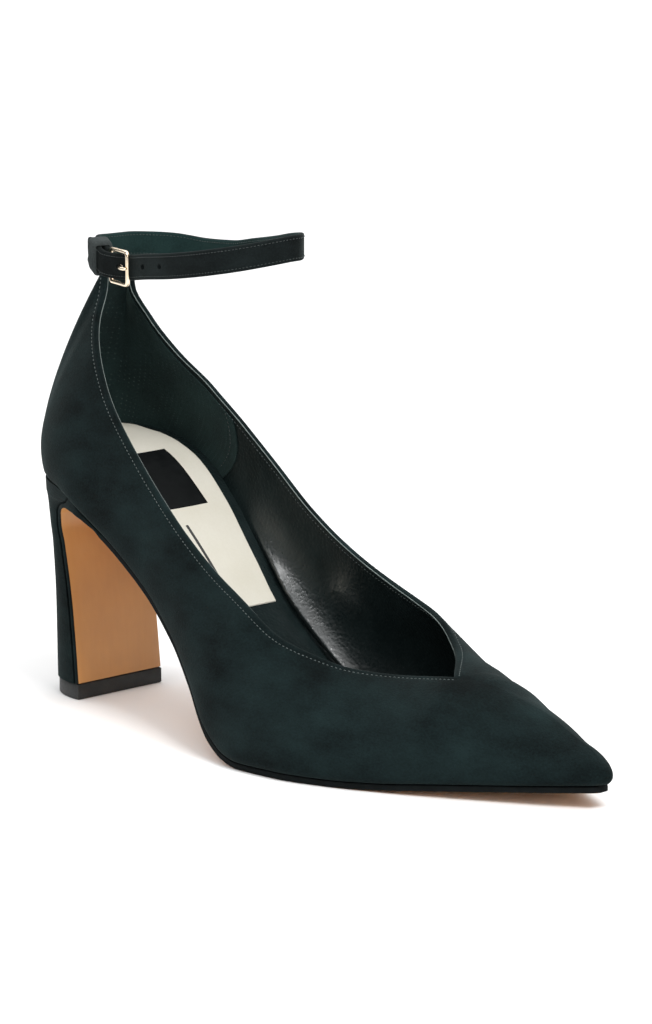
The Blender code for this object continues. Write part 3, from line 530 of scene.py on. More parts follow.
class Upper:
    """The upper's surfaces on one grid: a column for each station, rows from the lower edge up."""

    def __init__(self):
        self.side = side_stations()
        self.last = len(self.side) - 1
        self.stations = np.concatenate([self.side, -self.side[-2:0:-1]])
        self.throat = int(np.argmin(np.abs(self.side - THROAT_AT)))
        curves, self.out = section_curves(self.stations)
        grid = np.array([self.sampled(curve, out) for curve, out in zip(curves, self.out)])
        self.rows = grid.shape[1]
        self.index = self.shared_ridge()
        self.quads = grid_quads(np.vstack([self.index, self.index[:1]]))
        self.outer = grid.reshape(-1, 3)
        self.normals = self.smooth_normals()
        self.inner = self.outer - WALL * self.normals
        rim = self.index[:, 0]
        self.inner[rim, :2] = self.outer[rim, :2] - (WALL - EDGE_TURN) * self.out
        self.inner[rim, 2] = last_bottom(self.inner[rim, 0])
        self.from_top = self.topline_distance()

    @staticmethod
    def sampled(curve, out):
        """Points on one section, from the lower edge up, with the lower edge turned in."""
        length = run_length(curve)
        ease = 1 - (1 - np.linspace(0.0, 1.0, LOWER_ROWS + 1)[1:]) ** LOWER_EASE
        places = np.concatenate([TOP_ROWS, TOP_ROWS[-1] + (length[-1] - TOP_ROWS[-1]) * ease])
        points = at_places(places, length, curve)
        turn = np.clip(1 - (length[-1] - places) / EDGE_ROUND, 0.0, 1.0) ** 2
        points[:, :2] -= EDGE_TURN * turn[:, None] * out
        return points[::-1]

    def shared_ridge(self):
        """Vertex numbers of the grid, where both sides share the ridge ahead of the throat."""
        index = np.arange(len(self.stations) * self.rows).reshape(-1, self.rows)
        for k in range(self.throat, self.last):
            index[2 * self.last - k, -1] = index[k, -1]
        return index

    def smooth_normals(self):
        normals = np.zeros_like(self.outer)
        corner = self.outer[self.quads]
        area = np.cross(corner[:, 2] - corner[:, 0], corner[:, 3] - corner[:, 1])
        for i in range(4):
            np.add.at(normals, self.quads[:, i], area)
        return unit(normals)

    def topline(self, row=-1):
        """Vertex numbers of the topline or another row, from the throat round the back to the throat."""
        return np.concatenate([self.index[-self.throat:, row], self.index[:self.throat + 1, row]])

    def topline_distance(self):
        """Distance of every outer point from the topline."""
        line = self.outer[self.topline()]
        length = run_length(line)
        fine = at_places(np.linspace(0.0, length[-1], TOPLINE_SAMPLES), length, line)
        tree = KDTree(len(fine))
        for i, point in enumerate(fine):
            tree.insert(point, i)
        tree.balance()
        return np.array([tree.find(point)[2] for point in self.outer])

    def below_topline(self, distance):
        """Closed line at that distance from the topline, as pairs of vertex numbers and a share."""
        order = list(range(self.last + 1, len(self.stations))) + list(range(self.last + 1))
        line = []
        for k in order:
            column = self.index[k, ::-1]
            away = self.from_top[column]
            if away[0] < distance:
                j = int(np.argmax(away > distance))
                share = (distance - away[j - 1]) / (away[j] - away[j - 1])
                line.append((column[j - 1], column[j], share))
        return line

    def at(self, points, line):
        """Points or directions at the places of a line from below_topline."""
        a, b, share = (np.array(part) for part in zip(*line))
        return points[a] + share[:, None] * (points[b] - points[a])


# Meshes

def add_object(name, data):
    obj = bpy.data.objects.new(name, data)
    bpy.context.scene.collection.objects.link(obj)
    return obj


def mesh_object(name, points, faces, shaders, face_shaders=None, sharp=None):
    """Object from points in millimetres on the shoe's axes, with its normals outward.

    It is shaded smooth, apart from edges that are sharper than the given angle in degrees.
    """
    mesh = bpy.data.meshes.new(name)
    mesh.from_pydata(((np.asarray(points) + SHIFT) * MM).tolist(), [], [tuple(map(int, f)) for f in faces])
    if face_shaders is not None:
        mesh.polygons.foreach_set("material_index", np.asarray(face_shaders, np.int32))
    work = bmesh.new()
    work.from_mesh(mesh)
    bmesh.ops.delete(work, geom=[v for v in work.verts if not v.link_faces], context="VERTS")
    bmesh.ops.recalc_face_normals(work, faces=work.faces)
    work.to_mesh(mesh)
    work.free()
    mesh.shade_smooth()
    for shader in shaders:
        mesh.materials.append(shader)
    obj = add_object(name, mesh)
    if sharp is not None:
        sharpen(obj, sharp)
    return obj


def wear(obj, slot, *nodes):
    """The piece becomes part of the shoe under the root, and the solids that it stands for are hidden. The
    slot is not used.
    """
    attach(obj, "root")
    if nodes:
        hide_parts(*nodes)


def sharpen(obj, degrees):
    """Edges sharper than the angle stay sharp under smooth shading."""
    obj.data.set_sharp_from_angle(angle=np.radians(degrees))


def bevel(obj, width, segments=3, degrees=40):
    edge = obj.modifiers.new("bevel", "BEVEL")
    edge.width = width * MM
    edge.segments = segments
    edge.limit_method = "ANGLE"
    edge.angle_limit = np.radians(degrees)


def loft(sections, ends="capped"):
    """Points and faces of a skin through sections of the same count, its ends capped, joined or open."""
    sections = np.asarray(sections)
    count = sections.shape[1]
    end = (len(sections) - 1) * count
    around = [(k, (k + 1) % count) for k in range(count)]
    faces = [(i + a, i + b, i + count + b, i + count + a) for i in range(0, end, count) for a, b in around]
    if ends == "capped":
        faces += [tuple(range(count))[::-1], tuple(range(end, end + count))]
    elif ends == "joined":
        faces += [(end + a, end + b, b, a) for a, b in around]
    return sections.reshape(-1, 3), faces


def sheet_solid(top, bottom):
    """Closed sheet between two grids of the same shape."""
    index = np.arange(top[..., 0].size).reshape(top.shape[:2])
    shift = index.size
    quads = grid_quads(index)
    ring = [*index[:, 0], *index[-1, 1:], *index[-2::-1, -1], *index[0, -2:0:-1]]
    sides = [(b, a, a + shift, b + shift) for a, b in zip(ring, ring[1:] + ring[:1])]
    points = np.vstack([top.reshape(-1, 3), bottom.reshape(-1, 3)])
    return points, [*quads, *(quads[:, ::-1] + shift), *sides]


def slab(top, thick):
    """Closed sheet of the given thickness under a grid."""
    return sheet_solid(top, top - np.array([0.0, 0.0, thick]))


def rounded_box(low, high, corner, arc_steps=3, flat_steps=4):
    """Outline of a box with round corners, anticlockwise from its lower left, finer on its flat sides."""
    (left, down), (right, top) = np.asarray(low, float) + corner, np.asarray(high, float) - corner
    arcs = []
    for number, centre in enumerate(((left, down), (right, down), (right, top), (left, top))):
        angle = np.pi + 0.5 * np.pi * (number + np.linspace(0.0, 1.0, arc_steps + 1))
        arcs.append(centre + corner * np.column_stack([np.cos(angle), np.sin(angle)]))
    share = np.linspace(0.0, 1.0, flat_steps + 1)[1:-1, None]
    outline = []
    for arc, following in zip(arcs, arcs[1:] + arcs[:1]):
        outline += [arc, arc[-1] + share * (following[0] - arc[-1])]
    return np.vstack(outline)


def rod(line, radius, sides=ROD_SIDES, closed=False):
    """Round bar along a line. Its sections keep their turn from one point to the next."""
    line = np.asarray(line, float)
    if closed:
        run = np.roll(line, -1, axis=0) - np.roll(line, 1, axis=0)
    else:
        run = np.gradient(line, axis=0)
    run = unit(run)
    across = unit(np.cross(run[0], (0.0, 0.0, 1.0) if abs(run[0, 2]) < ROD_STEEP else (1.0, 0.0, 0.0)))
    angles = np.linspace(0.0, 2 * np.pi, sides, endpoint=False)
    sections = []
    for point, direction, r in zip(line, run, np.broadcast_to(radius, len(line))):
        across = unit(across - direction * (across @ direction))
        up = np.cross(direction, across)
        sections.append([point + r * (np.cos(a) * across + np.sin(a) * up) for a in angles])
    return loft(sections, "joined" if closed else "capped")


def joined(solids):
    """One mesh from several."""
    points, faces, shift = [], [], 0
    for more_points, more_faces in solids:
        points.append(more_points)
        faces += [tuple(i + shift for i in face) for face in more_faces]
        shift += len(more_points)
    return np.vstack(points), faces


def evenly(line, directions, pitch):
    """Evenly spaced places on a line, with the line's own directions there."""
    length = run_length(line)
    places = np.arange(0.5 * pitch, length[-1], pitch)
    return [at_places(places, length, values) for values in (line, directions, np.gradient(line, axis=0))]


def stitches(line, normals, pitch=STITCH_PITCH, long=STITCH_LONG, radius=THREAD):
    """A row of short stitches that dip into the surface at both ends."""
    solids = []
    for place, normal, run in zip(*evenly(line, normals, pitch)):
        run, normal = unit(run), unit(normal)
        arc = [place + 0.5 * long * t * run + radius * (STITCH_RISE - STITCH_DIP * t * t) * normal
               for t in np.linspace(-1.0, 1.0, len(STITCH_TAPER))]
        solids.append(rod(arc, radius * np.array(STITCH_TAPER), sides=STITCH_SIDES))
    return joined(solids)


# Finishes

class Finish:
    """A material, with short ways to add the nodes that give it its detail."""

    def __init__(self, name, **sockets):
        self.name = name
        self.material = bpy.data.materials.new(name)
        self.material.use_nodes = True
        self.tree = self.material.node_tree
        self.shader = self.tree.nodes["Principled BSDF"]
        for socket, value in sockets.items():
            self.shader.inputs[SOCKETS[socket]].default_value = value
        self.height = None

    def node(self, kind, inputs, **settings):
        made = self.tree.nodes.new("ShaderNode" + kind)
        for name, value in settings.items():
            setattr(made, name, value)
        for socket, value in inputs.items():
            if isinstance(value, bpy.types.NodeSocket):
                self.tree.links.new(value, made.inputs[socket])
            else:
                made.inputs[socket].default_value = value
        return made

    def math(self, operation, first, second):
        return self.node("Math", {0: first, 1: second}, operation=operation).outputs[0]

    def place(self, size, stretch=(1.0, 1.0, 1.0), turn=0.0):
        """Coordinates in which the given size in millimetres is one."""
        where = self.node("TexCoord", {}).outputs["Object"]
        scale = [1.0 / (size * MM * s) for s in stretch]
        inputs = {"Vector": where, "Scale": scale, "Rotation": (0.0, turn, 0.0)}
        return self.node("Mapping", inputs).outputs["Vector"]

    def noise(self, size, detail=2.0, rough=0.5, stretch=(1.0, 1.0, 1.0), turn=0.0):
        inputs = {"Vector": self.place(size, stretch, turn), "Scale": 1.0,
                  "Detail": detail, "Roughness": rough}
        return self.node("TexNoise", inputs).outputs["Fac"]

    def cells(self, size, feature="F1", randomness=1.0, vector=None):
        inputs = {"Vector": vector or self.place(size), "Scale": 1.0, "Randomness": randomness}
        return self.node("TexVoronoi", inputs, feature=feature).outputs["Distance"]

    def spread(self, value, low, high, to_low=0.0, to_high=1.0):
        """The value's stretch from low to high, mapped to another and held there."""
        inputs = {"Value": value, "From Min": low, "From Max": high, "To Min": to_low, "To Max": to_high}
        return self.node("MapRange", inputs, clamp=True).outputs["Result"]

    def sums(self, *terms):
        """Weighted sum of values: pairs of a value and its weight."""
        total = None
        for value, weight in terms:
            part = self.math("MULTIPLY", value, weight)
            total = part if total is None else self.math("ADD", total, part)
        return total

    def blend(self, share, first, second):
        colours = [tuple(c) + (1.0,) if isinstance(c, tuple) else c for c in (first, second)]
        made = self.node("Mix", {0: share, 6: colours[0], 7: colours[1]}, data_type="RGBA")
        return made.outputs[2]

    def set(self, socket, value):
        self.tree.links.new(value, self.shader.inputs[SOCKETS[socket]])

    def tint(self, value, low, high):
        """Colour between the finish's two tones, over the value's stretch from low to high."""
        self.set("colour", self.blend(self.spread(value, low, high), *TONES[self.name]))

    def bump(self, height, depth):
        """Relief of the given depth in millimetres, on top of what is there."""
        inputs = {"Height": height, "Distance": depth * MM, "Strength": 1.0}
        if self.height is not None:
            inputs["Normal"] = self.height
        self.height = self.node("Bump", inputs).outputs["Normal"]
        self.tree.links.new(self.height, self.shader.inputs["Normal"])


def suede(name):
    """Brushed suede: cloudy where the nap lies differently, with a fine fibrous grain."""
    finish = Finish(name, rough=0.95, gloss=0.1, sheen=0.05, sheen_rough=0.45,
                    sheen_tint=(0.72, 0.9, 0.88, 1.0))
    cloud = finish.noise(25.0, detail=2.0, rough=0.5)
    patch = finish.noise(7.0, detail=2.0, rough=0.55, stretch=(1.8, 1.0, 0.8), turn=0.6)
    nap = finish.noise(0.55, detail=3.0, rough=0.7, stretch=(1.5, 1.0, 1.0), turn=0.6)
    tone = finish.sums((cloud, 0.46), (patch, 0.24), (nap, 0.30))
    finish.tint(tone, 0.39, 0.65)
    finish.bump(patch, 0.10)
    finish.bump(nap, 0.16)
    return finish.material


def grip_suede():
    """The heel's lining: smooth green suede with small air holes in rows."""
    finish = Finish("grip_suede", rough=0.9, gloss=0.2, sheen=0.2, sheen_rough=0.4,
                    sheen_tint=(0.6, 0.9, 0.85, 1.0))
    cloud = finish.noise(14.0, detail=3.0)
    nap = finish.noise(0.5, detail=3.0, rough=0.65)
    tone = finish.spread(finish.sums((cloud, 0.6), (nap, 0.4)), 0.35, 0.65)
    ground = finish.blend(tone, *TONES["grip_suede"])
    where = finish.node("TexCoord", {}).outputs["UV"]
    dots = finish.cells(1.0, randomness=0.0, vector=where)
    worn = finish.spread(finish.noise(5.0, detail=3.0), 0.44, 0.72)
    hole = finish.math("MULTIPLY", finish.spread(dots, 0.12, 0.18, 1.0, 0.0), worn)
    finish.set("colour", finish.blend(hole, ground, AIR_HOLE))
    finish.bump(nap, 0.10)
    return finish.material


def lining_leather():
    """Glossy black lining leather with a fine grain and soft wrinkles."""
    finish = Finish("lining_leather", coat_rough=0.24)
    shine = finish.node("Attribute", {}, attribute_name="shine").outputs["Fac"]
    finish.set("gloss", finish.spread(shine, 0.0, 1.0, 0.07, 1.0))
    finish.set("coat", finish.spread(shine, 0.0, 1.0, 0.0, 1.0))
    grain = finish.cells(0.9, feature="SMOOTH_F1")
    wrinkle = finish.noise(7.0, detail=4.0, rough=0.6, stretch=(1.0, 1.0, 1.7), turn=0.7)
    finish.tint(wrinkle, 0.3, 0.7)
    finish.set("rough", finish.spread(grain, 0.1, 0.7, 0.27, 0.45))
    finish.bump(wrinkle, 0.35)
    finish.bump(grain, 0.14)
    return finish.material


def sock_leather():
    """Smooth cream leather of the heel sock."""
    finish = Finish("sock_leather", gloss=0.4)
    cloud = finish.noise(16.0, detail=3.0)
    grain = finish.cells(0.7, feature="SMOOTH_F1")
    finish.tint(finish.sums((cloud, 0.8), (grain, 0.2)), 0.3, 0.7)
    finish.set("rough", finish.spread(cloud, 0.3, 0.7, 0.46, 0.58))
    finish.bump(grain, 0.02)
    return finish.material


def sole_leather():
    """Smooth tan sole leather, rubbed a little lighter in places."""
    finish = Finish("sole_leather", gloss=0.45, coat=0.12, coat_rough=0.3)
    cloud = finish.noise(24.0, detail=3.0)
    streak = finish.noise(1.6, detail=3.0, stretch=(1.0, 1.0, 6.0))
    finish.tint(finish.sums((cloud, 0.75), (streak, 0.25)), 0.35, 0.65)
    finish.set("rough", finish.spread(streak, 0.3, 0.7, 0.38, 0.5))
    finish.bump(streak, 0.02)
    return finish.material


def edge_finish(name, rough=0.6, gloss=0.4):
    """Dressed cut edge of leather: lightly uneven along its length."""
    finish = Finish(name, gloss=gloss)
    uneven = finish.noise(3.0, detail=3.0)
    finish.tint(uneven, 0.35, 0.65)
    finish.set("rough", finish.spread(uneven, 0.3, 0.7, rough - 0.08, rough + 0.08))
    finish.bump(uneven, 0.06)
    return finish.material


def thread(name):
    """Twisted sewing thread."""
    finish = Finish(name, rough=0.7, sheen=0.2, sheen_rough=0.4)
    twist = finish.noise(0.4, detail=2.0)
    finish.tint(twist, 0.3, 0.7)
    finish.bump(twist, 0.05)
    return finish.material


def gold():
    """Polished light gold with fine handling marks."""
    finish = Finish("buckle_gold", metal=1.0)
    mark = finish.noise(1.2, detail=4.0)
    finish.tint(mark, 0.3, 0.7)
    finish.set("rough", finish.spread(mark, 0.3, 0.7, 0.12, 0.24))
    return finish.material


def hard_rubber():
    """Satin wearing piece with a faint moulded grain."""
    finish = Finish("hard_rubber", gloss=0.4)
    grain = finish.noise(0.5, detail=3.0)
    cloud = finish.noise(8.0, detail=2.0)
    finish.tint(cloud, 0.3, 0.7)
    finish.set("rough", finish.spread(grain, 0.3, 0.7, 0.45, 0.6))
    finish.bump(grain, 0.05)
    return finish.material


# Pieces of the shoe

def quarter_seam(height, behind=0.0):
    """Stations of the inner quarter's seam at shares of the upper's height: it bows forward."""
    return -(SEAM_AT - behind + SEAM_BOW * (np.sin(np.pi * height) - 0.5))


def shaped_outer(upper):
    """Outer points with the stitched track, the quarter's seam and the soft hollows of worn suede."""
    track = np.exp(-((upper.from_top - STITCH_BELOW) / STITCH_TRACK) ** 2)
    height = np.tile(np.linspace(0.0, 1.0, upper.rows), len(upper.stations))
    from_seam = np.repeat(upper.stations, upper.rows) - quarter_seam(height)
    groove = np.exp(-(from_seam / SEAM_GROOVE) ** 2)
    groove *= np.clip((upper.from_top - SEAM_FADE_FROM) / SEAM_FADE, 0.0, 1.0)
    inward = STITCH_TRACK_DEEP * track + SEAM_DEEP * groove
    for start, end, width, depth in SUEDE_CREASES:
        inward += depth * soft_line(upper.outer, start, end, width)
    return upper.outer - inward[:, None] * upper.normals


def along_fold(upper):
    """Height of every inner point above the insole and how near it is to the fold's stretch."""
    station = np.repeat(upper.stations, upper.rows)
    height = upper.inner[:, 2] - insole_level(upper.inner[:, 0])
    share = np.interp(-station, FOLD_AT, (0.0, 1.0, 1.0, 0.0), left=0.0, right=0.0)
    return height, share * share * (3 - 2 * share)


def shaped_inner(upper):
    """Inner points with the lining's own wrinkles and its fold along the insole."""
    height, share = along_fold(upper)
    away = height - FOLD_UP
    fall = np.where(away < 0, (away / FOLD_BELOW) ** 2, away / FOLD_ABOVE)
    inward = FOLD_HIGH * share * np.exp(-fall)
    for start, end, width, depth in LINING_CREASES:
        inward += depth * soft_line(upper.inner, start, end, width)
    return upper.inner - inward[:, None] * upper.normals


def add_shine(obj, upper):
    """How glossy the lining is at every point of the shell."""
    height, share = along_fold(upper)
    shine = np.zeros(len(obj.data.vertices), np.float32)
    glossy = share * np.exp(-((height - SHINE_UP) / SHINE_TALL) ** 2) * (height > 0)
    wrinkled = np.linalg.norm(upper.inner - WRINKLED_AT, axis=1)
    glossy = np.maximum(glossy, WRINKLED_SHINE * np.exp(-(wrinkled / WRINKLED_WIDE) ** 2))
    used = np.unique(upper.index)
    first = len(used)
    shine[first:2 * first] = glossy[used]
    obj.data.attributes.new("shine", "FLOAT", "POINT").data.foreach_set("value", shine)


def topline_rim(upper, outer, inner):
    """Rows of points over the topline's fold, from the outer to the inner edge, for each place on it."""
    line = upper.topline()
    run = np.gradient(outer[line], axis=0)
    away = unit(np.cross(run, upper.normals[line]))
    rise = outer[line] - outer[upper.topline(RIM_UP_ROW)]
    away *= np.sign(np.einsum("ij,ij->i", away, rise).sum())
    away[0] = away[-1] = unit(away[0] + away[-1])
    middle = 0.5 * (outer[line] + inner[line])
    half = 0.5 * (outer[line] - inner[line])
    high = RIM_FULL * np.linalg.norm(half, axis=1)[:, None]
    angles = np.linspace(0.0, np.pi, RIM_STEPS + 1)[1:-1]
    return [middle + half * np.cos(a) + away * high * np.sin(a) for a in angles]


def make_upper(upper, shaders):
    """Hollow shell: suede outside, leather inside, joined by the fold of the topline, which it returns."""
    outer, inner = shaped_outer(upper), shaped_inner(upper)
    shift = len(outer)
    outside = [tuple(quad) for quad in upper.quads]
    inside = [tuple(quad[::-1] + shift) for quad in upper.quads]
    bottom = upper.index[:, 0]
    under = [(b, a, a + shift, b + shift) for a, b in zip(bottom, np.roll(bottom, -1))]
    line = upper.topline()
    rim = topline_rim(upper, outer, inner)
    chains = [line]
    for number in range(len(rim)):
        chain = 2 * shift + number * len(line) + np.arange(len(line))
        chain[-1] = chain[0]
        chains.append(chain)
    chains.append(line + shift)
    fold = []
    for first, second in zip(chains[:-1], chains[1:]):
        fold += list(zip(first[:-1], first[1:], second[1:], second[:-1]))
    faces = outside + under + fold + inside
    kinds = [0] * (len(outside) + len(under) + len(fold)) + [1] * len(inside)
    obj = mesh_object("upper_shell", np.vstack([outer, inner, *rim]), faces, shaders, kinds)
    add_shine(obj, upper)
    wear(obj, "suede", "upper")
    return rim


def make_topline_trim(upper, rim, thread_finish, edge):
    """Stitches on both sides of the topline and the lining's pale cut edge."""
    line = upper.below_topline(STITCH_BELOW)
    track = STITCH_TRACK_DEEP * upper.normals
    outside = stitches(upper.at(upper.outer - track, line), upper.at(upper.normals, line))
    wear(mesh_object("topline_stitches", *outside, [thread_finish]), "suede")
    inside = stitches(upper.at(upper.inner, line), upper.at(-upper.normals, line))
    wear(mesh_object("lining_stitches", *inside, [thread_finish]), "suede")
    wear(mesh_object("lining_edge", *rod(rim[-1], BEAD, sides=BEAD_SIDES), [edge]), "suede")


def make_quarter_stitches(upper, thread_finish):
    """Stitches behind the inner quarter's seam."""
    rows = np.arange(SEAM_STITCH_ROWS[0], upper.rows - SEAM_STITCH_ROWS[1])
    wanted = quarter_seam(rows / (upper.rows - 1), SEAM_STITCH)
    line, normals = [], []
    inner_side = np.arange(upper.last + 1, len(upper.stations))
    for j, station in zip(rows, wanted):
        column = upper.index[inner_side, j]
        for values, found in ((upper.outer, line), (upper.normals, normals)):
            found.append(at_places([station], upper.stations[inner_side], values[column])[0])
    made = stitches(np.array(line), np.array(normals))
    wear(mesh_object("quarter_stitches", *made, [thread_finish]), "suede")


def insole_edge(upper):
    """Upper edge of the insole around the inner wall."""
    wall = upper.inner[upper.index]
    level = insole_level(wall[:, 0, 0])
    high = np.array([[np.interp(z, line[:, 2], line[:, 0]), np.interp(z, line[:, 2], line[:, 1]), z]
                     for line, z in zip(wall, level)])
    high[:, :2] -= INSOLE_CLEAR * upper.out
    high[:, 2] = insole_level(high[:, 0])
    return high


def insole_top(upper, lift, insets=((0.0, 0.0),)):
    """Grid over the insole from heel to toe: the given lift above its top and inset from its edge."""
    high = insole_edge(upper)
    across = np.linspace(0.0, 1.0, SOCK_ACROSS + 1)
    grid = []
    for k in range(1, upper.last):
        first, second = high[k], high[-k]
        inset = np.interp(0.5 * (first[0] + second[0]), *zip(*insets))
        share = inset / max(np.linalg.norm(second - first), SOCK_NARROWEST * inset + 0.01)
        t = share + (1 - 2 * share) * across
        row = first + t[:, None] * (second - first)
        row[:, 2] = insole_level(row[:, 0]) + lift
        dished = np.clip((DISH_TO_X - row[:, 0]) / DISH_FADE, 0.0, 1.0)
        row[:, 2] -= SOCK_DISH * (1 - (2 * t - 1) ** 2) * dished
        grid.append(row)
    return np.array(grid)


def make_insole(upper, leather):
    """The insole's body, covered in black leather, as far as the sock leaves it bare."""
    low = upper.inner[upper.index[:, 0]]
    low[:, :2] -= INSOLE_CLEAR * upper.out
    low[:, 2] = last_bottom(low[:, 0]) + GAP
    top = insole_top(upper, -SOCK_THICK)
    across = np.linspace(0.0, 1.0, SOCK_ACROSS + 1)[:, None]
    bottom = np.array([low[k] + across * (low[-k] - low[k]) for k in range(1, upper.last)])
    wear(mesh_object("insole_body", *sheet_solid(top, bottom), [leather], sharp=35), "sock", "insole")


def make_sock(upper, cream, patch_leather, dark_line, pale_line):
    """Cream heel sock with a plain patch and a thin line along its middle."""
    top = insole_top(upper, 0.0, SOCK_INSET)
    rows = [row for row in top if row[:, 0].mean() < SOCK_FRONT_X]
    front = rows[-1].copy()
    front[:, 0] = SOCK_FRONT_X
    front[:, 2] = insole_level(front[:, 0])
    rows = np.array(rows[:-1] + [front])
    obj = mesh_object("heel_sock", *slab(rows, SOCK_SINK * SOCK_THICK), [cream], sharp=40)
    bevel(obj, SOCK_BEVEL, segments=2, degrees=50)
    wear(obj, "sock")
    for name, x, y, lift, finish in (
        ("sock_patch", PATCH_X, PATCH_Y, PATCH_THICK, patch_leather),
        ("sock_line_back", MID_LINE_X[:2], MID_LINE_Y, MID_LINE_THICK, dark_line),
        ("sock_line_front", MID_LINE_X[1:], MID_LINE_Y, MID_LINE_THICK - SOCK_THICK, pale_line),
    ):
        wear(mesh_object(name, *draped_strip(upper, x, y, lift), [finish], sharp=40), "sock")


def draped_strip(upper, x, y, lift):
    """Thin rectangle lying on the insole between two places along and across it."""
    grid = insole_top(upper, 0.0)
    centre = grid.mean(axis=1)
    along_x, across_y = (np.linspace(*ends, steps) for ends, steps in zip((x, y), STRIP_STEPS))
    top = np.zeros((*STRIP_STEPS, 3))
    for i, place in enumerate(along_x):
        k = int(np.clip(np.searchsorted(centre[:, 0], place), 1, len(centre) - 1))
        share = (place - centre[k - 1, 0]) / (centre[k, 0] - centre[k - 1, 0])
        row = grid[k - 1] + share * (grid[k] - grid[k - 1])
        top[i, :, 0] = place
        top[i, :, 1] = across_y
        top[i, :, 2] = np.interp(across_y, row[:, 1], row[:, 2]) + lift
    return slab(top, STRIP_THICK)


def make_heel_grip(upper, finish, thread_finish):
    """The heel's green suede lining, a thin layer on the wall with its front edges sewn down."""
    height = np.linspace(0.0, 1.0, GRIP_ROWS + 1)
    reach = GRIP_AT + GRIP_BOW * np.sin(np.pi * height)
    order = np.argsort(upper.stations)
    order = order[np.abs(upper.stations[order]) < GRIP_TAKEN_TO]
    stations = upper.stations[order]
    columns, directions = [], []
    for k in order:
        line, normal = upper.inner[upper.index[k]], upper.normals[upper.index[k]]
        length = run_length(line)
        level = insole_level(line[0, 0])[0] - GRIP_DEEP
        start = np.interp(level, line[:, 2], length)
        places = start + (length[-1] - GRIP_BELOW - start) * height
        columns.append(at_places(places, length, line))
        directions.append(at_places(places, length, normal))
    columns, directions = np.array(columns), np.array(directions)
    share = np.linspace(-1.0, 1.0, GRIP_STEPS + 1)
    wall = np.zeros((GRIP_STEPS + 1, GRIP_ROWS + 1, 3))
    normal = np.zeros_like(wall)
    for j, far in enumerate(reach):
        wall[:, j] = at_places(share * far, stations, columns[:, j])
        normal[:, j] = at_places(share * far, stations, directions[:, j])
    normal = unit(normal)
    top = wall - GRIP_THICK * normal
    obj = mesh_object("heel_grip", *sheet_solid(top, wall + GRIP_BEHIND * normal), [finish], sharp=40)
    add_grip_places(obj, top)
    wear(obj, "suede")
    rows = [stitches(top[edge, GRIP_STITCH_ROWS], -normal[edge, GRIP_STITCH_ROWS])
            for edge in GRIP_STITCH_COLUMNS]
    wear(mesh_object("grip_stitches", *joined(rows), [thread_finish]), "suede")


def add_grip_places(obj, grid):
    """Texture coordinates of the heel's lining, along and up, with one for each pitch of its air holes."""
    level = grid.mean(axis=1)
    along_mm = run_length(level)
    up_mm = run_length(grid[len(grid) // 2])
    places = np.stack(np.meshgrid(along_mm, up_mm, indexing="ij"), axis=-1) / GRIP_HOLE_PITCH
    places = np.tile(places.reshape(-1, 2), (2, 1))
    layer = obj.data.uv_layers.new(name="places")
    corners = np.zeros(len(obj.data.loops), np.int32)
    obj.data.loops.foreach_get("vertex_index", corners)
    layer.data.foreach_set("uv", places[corners].astype(np.float32).ravel())


def sole_edges(x):
    """The sole's outer and inner edges at the given places along the shoe."""
    stations = np.linspace(BACK_TO, TOE_AT, EDGE_SAMPLES)
    edges = []
    for sign in (1.0, -1.0):
        foot, out = foot_ring(sign * stations)
        edge = foot - SOLE_INSET * out
        edges.append(np.interp(x, edge[:, 0], edge[:, 1]))
    return edges


def sole_stations():
    """Underside of the sole from the floor up the heel front and on to the toe: x, z, outer, inner."""
    ease = 1 - (1 - np.linspace(0.0, 1.0, SOLE_STEPS)) ** SOLE_EASE
    x = SOLE_FROM_X + (SOLE_TO_X - SOLE_FROM_X) * ease
    level = np.column_stack([x, last_bottom(x)])
    under = level - (GAP + SOLE_THICK) * left_normals(level)
    outer, inner = sole_edges(x)
    sole = np.column_stack([under, outer, inner])
    flap = np.array([row[:4] for row in BREAST])
    return np.vstack([along(np.vstack([flap, sole[:1]]), FLAP_STEPS + 1)[:-1], sole])


def sole_thickness(stations):
    """Thin over the heel front, then up to the upper, and even from the waist to the toe."""
    normal = left_normals(stations)
    past = np.clip((stations[:, 0] - SEAT_FROM_X) / SEAT_BLEND, 0.0, 1.0)
    upright = np.where(past > 0, normal[:, 1], 1.0)
    full = np.full(len(stations), SOLE_THICK)
    for _ in range(FILL_TURNS):
        level = last_bottom(stations[:, 0] + full * normal[:, 0]) - 2 * GAP
        full = np.where(past > 0, (level - stations[:, 1]) / upright, SOLE_THICK)
    flap = FLAP_THICK + past * (full - FLAP_THICK)
    return np.where(stations[:, 0] > SOLE_FROM_X, SOLE_THICK, flap)


def make_outsole(shaders):
    """Thin sole with rounded edges: tan underneath and over the heel front, dark along its edge."""
    stations = sole_stations()
    sections = []
    normals, thickness = left_normals(stations), sole_thickness(stations)
    for (x, z, outer, inner), normal, thick in zip(stations, normals, thickness):
        outline = rounded_box((outer, 0.0), (inner, thick), SOLE_CORNER, SOLE_CORNER_STEPS, SOLE_ACROSS)
        sections.append([(x + h * normal[0], y, z + h * normal[1]) for y, h in outline])
    points, faces = loft(sections)
    count = len(sections[0])
    # The flat underside, with the first faces of its rounded edges
    flat = range(SOLE_CORNER_STEPS - 1, SOLE_CORNER_STEPS + SOLE_ACROSS + 2)
    kinds = []
    for number in range(len(faces) - 2):
        station, place = divmod(number, count)
        edge = 2 if stations[station, 0] < COVERED_EDGE_TO_X else 1
        kinds.append(0 if place in flat else edge)
    obj = mesh_object("outsole_leather", points, faces, shaders, kinds + [2, 1], sharp=60)
    wear(obj, "sole_leather", "outsole")


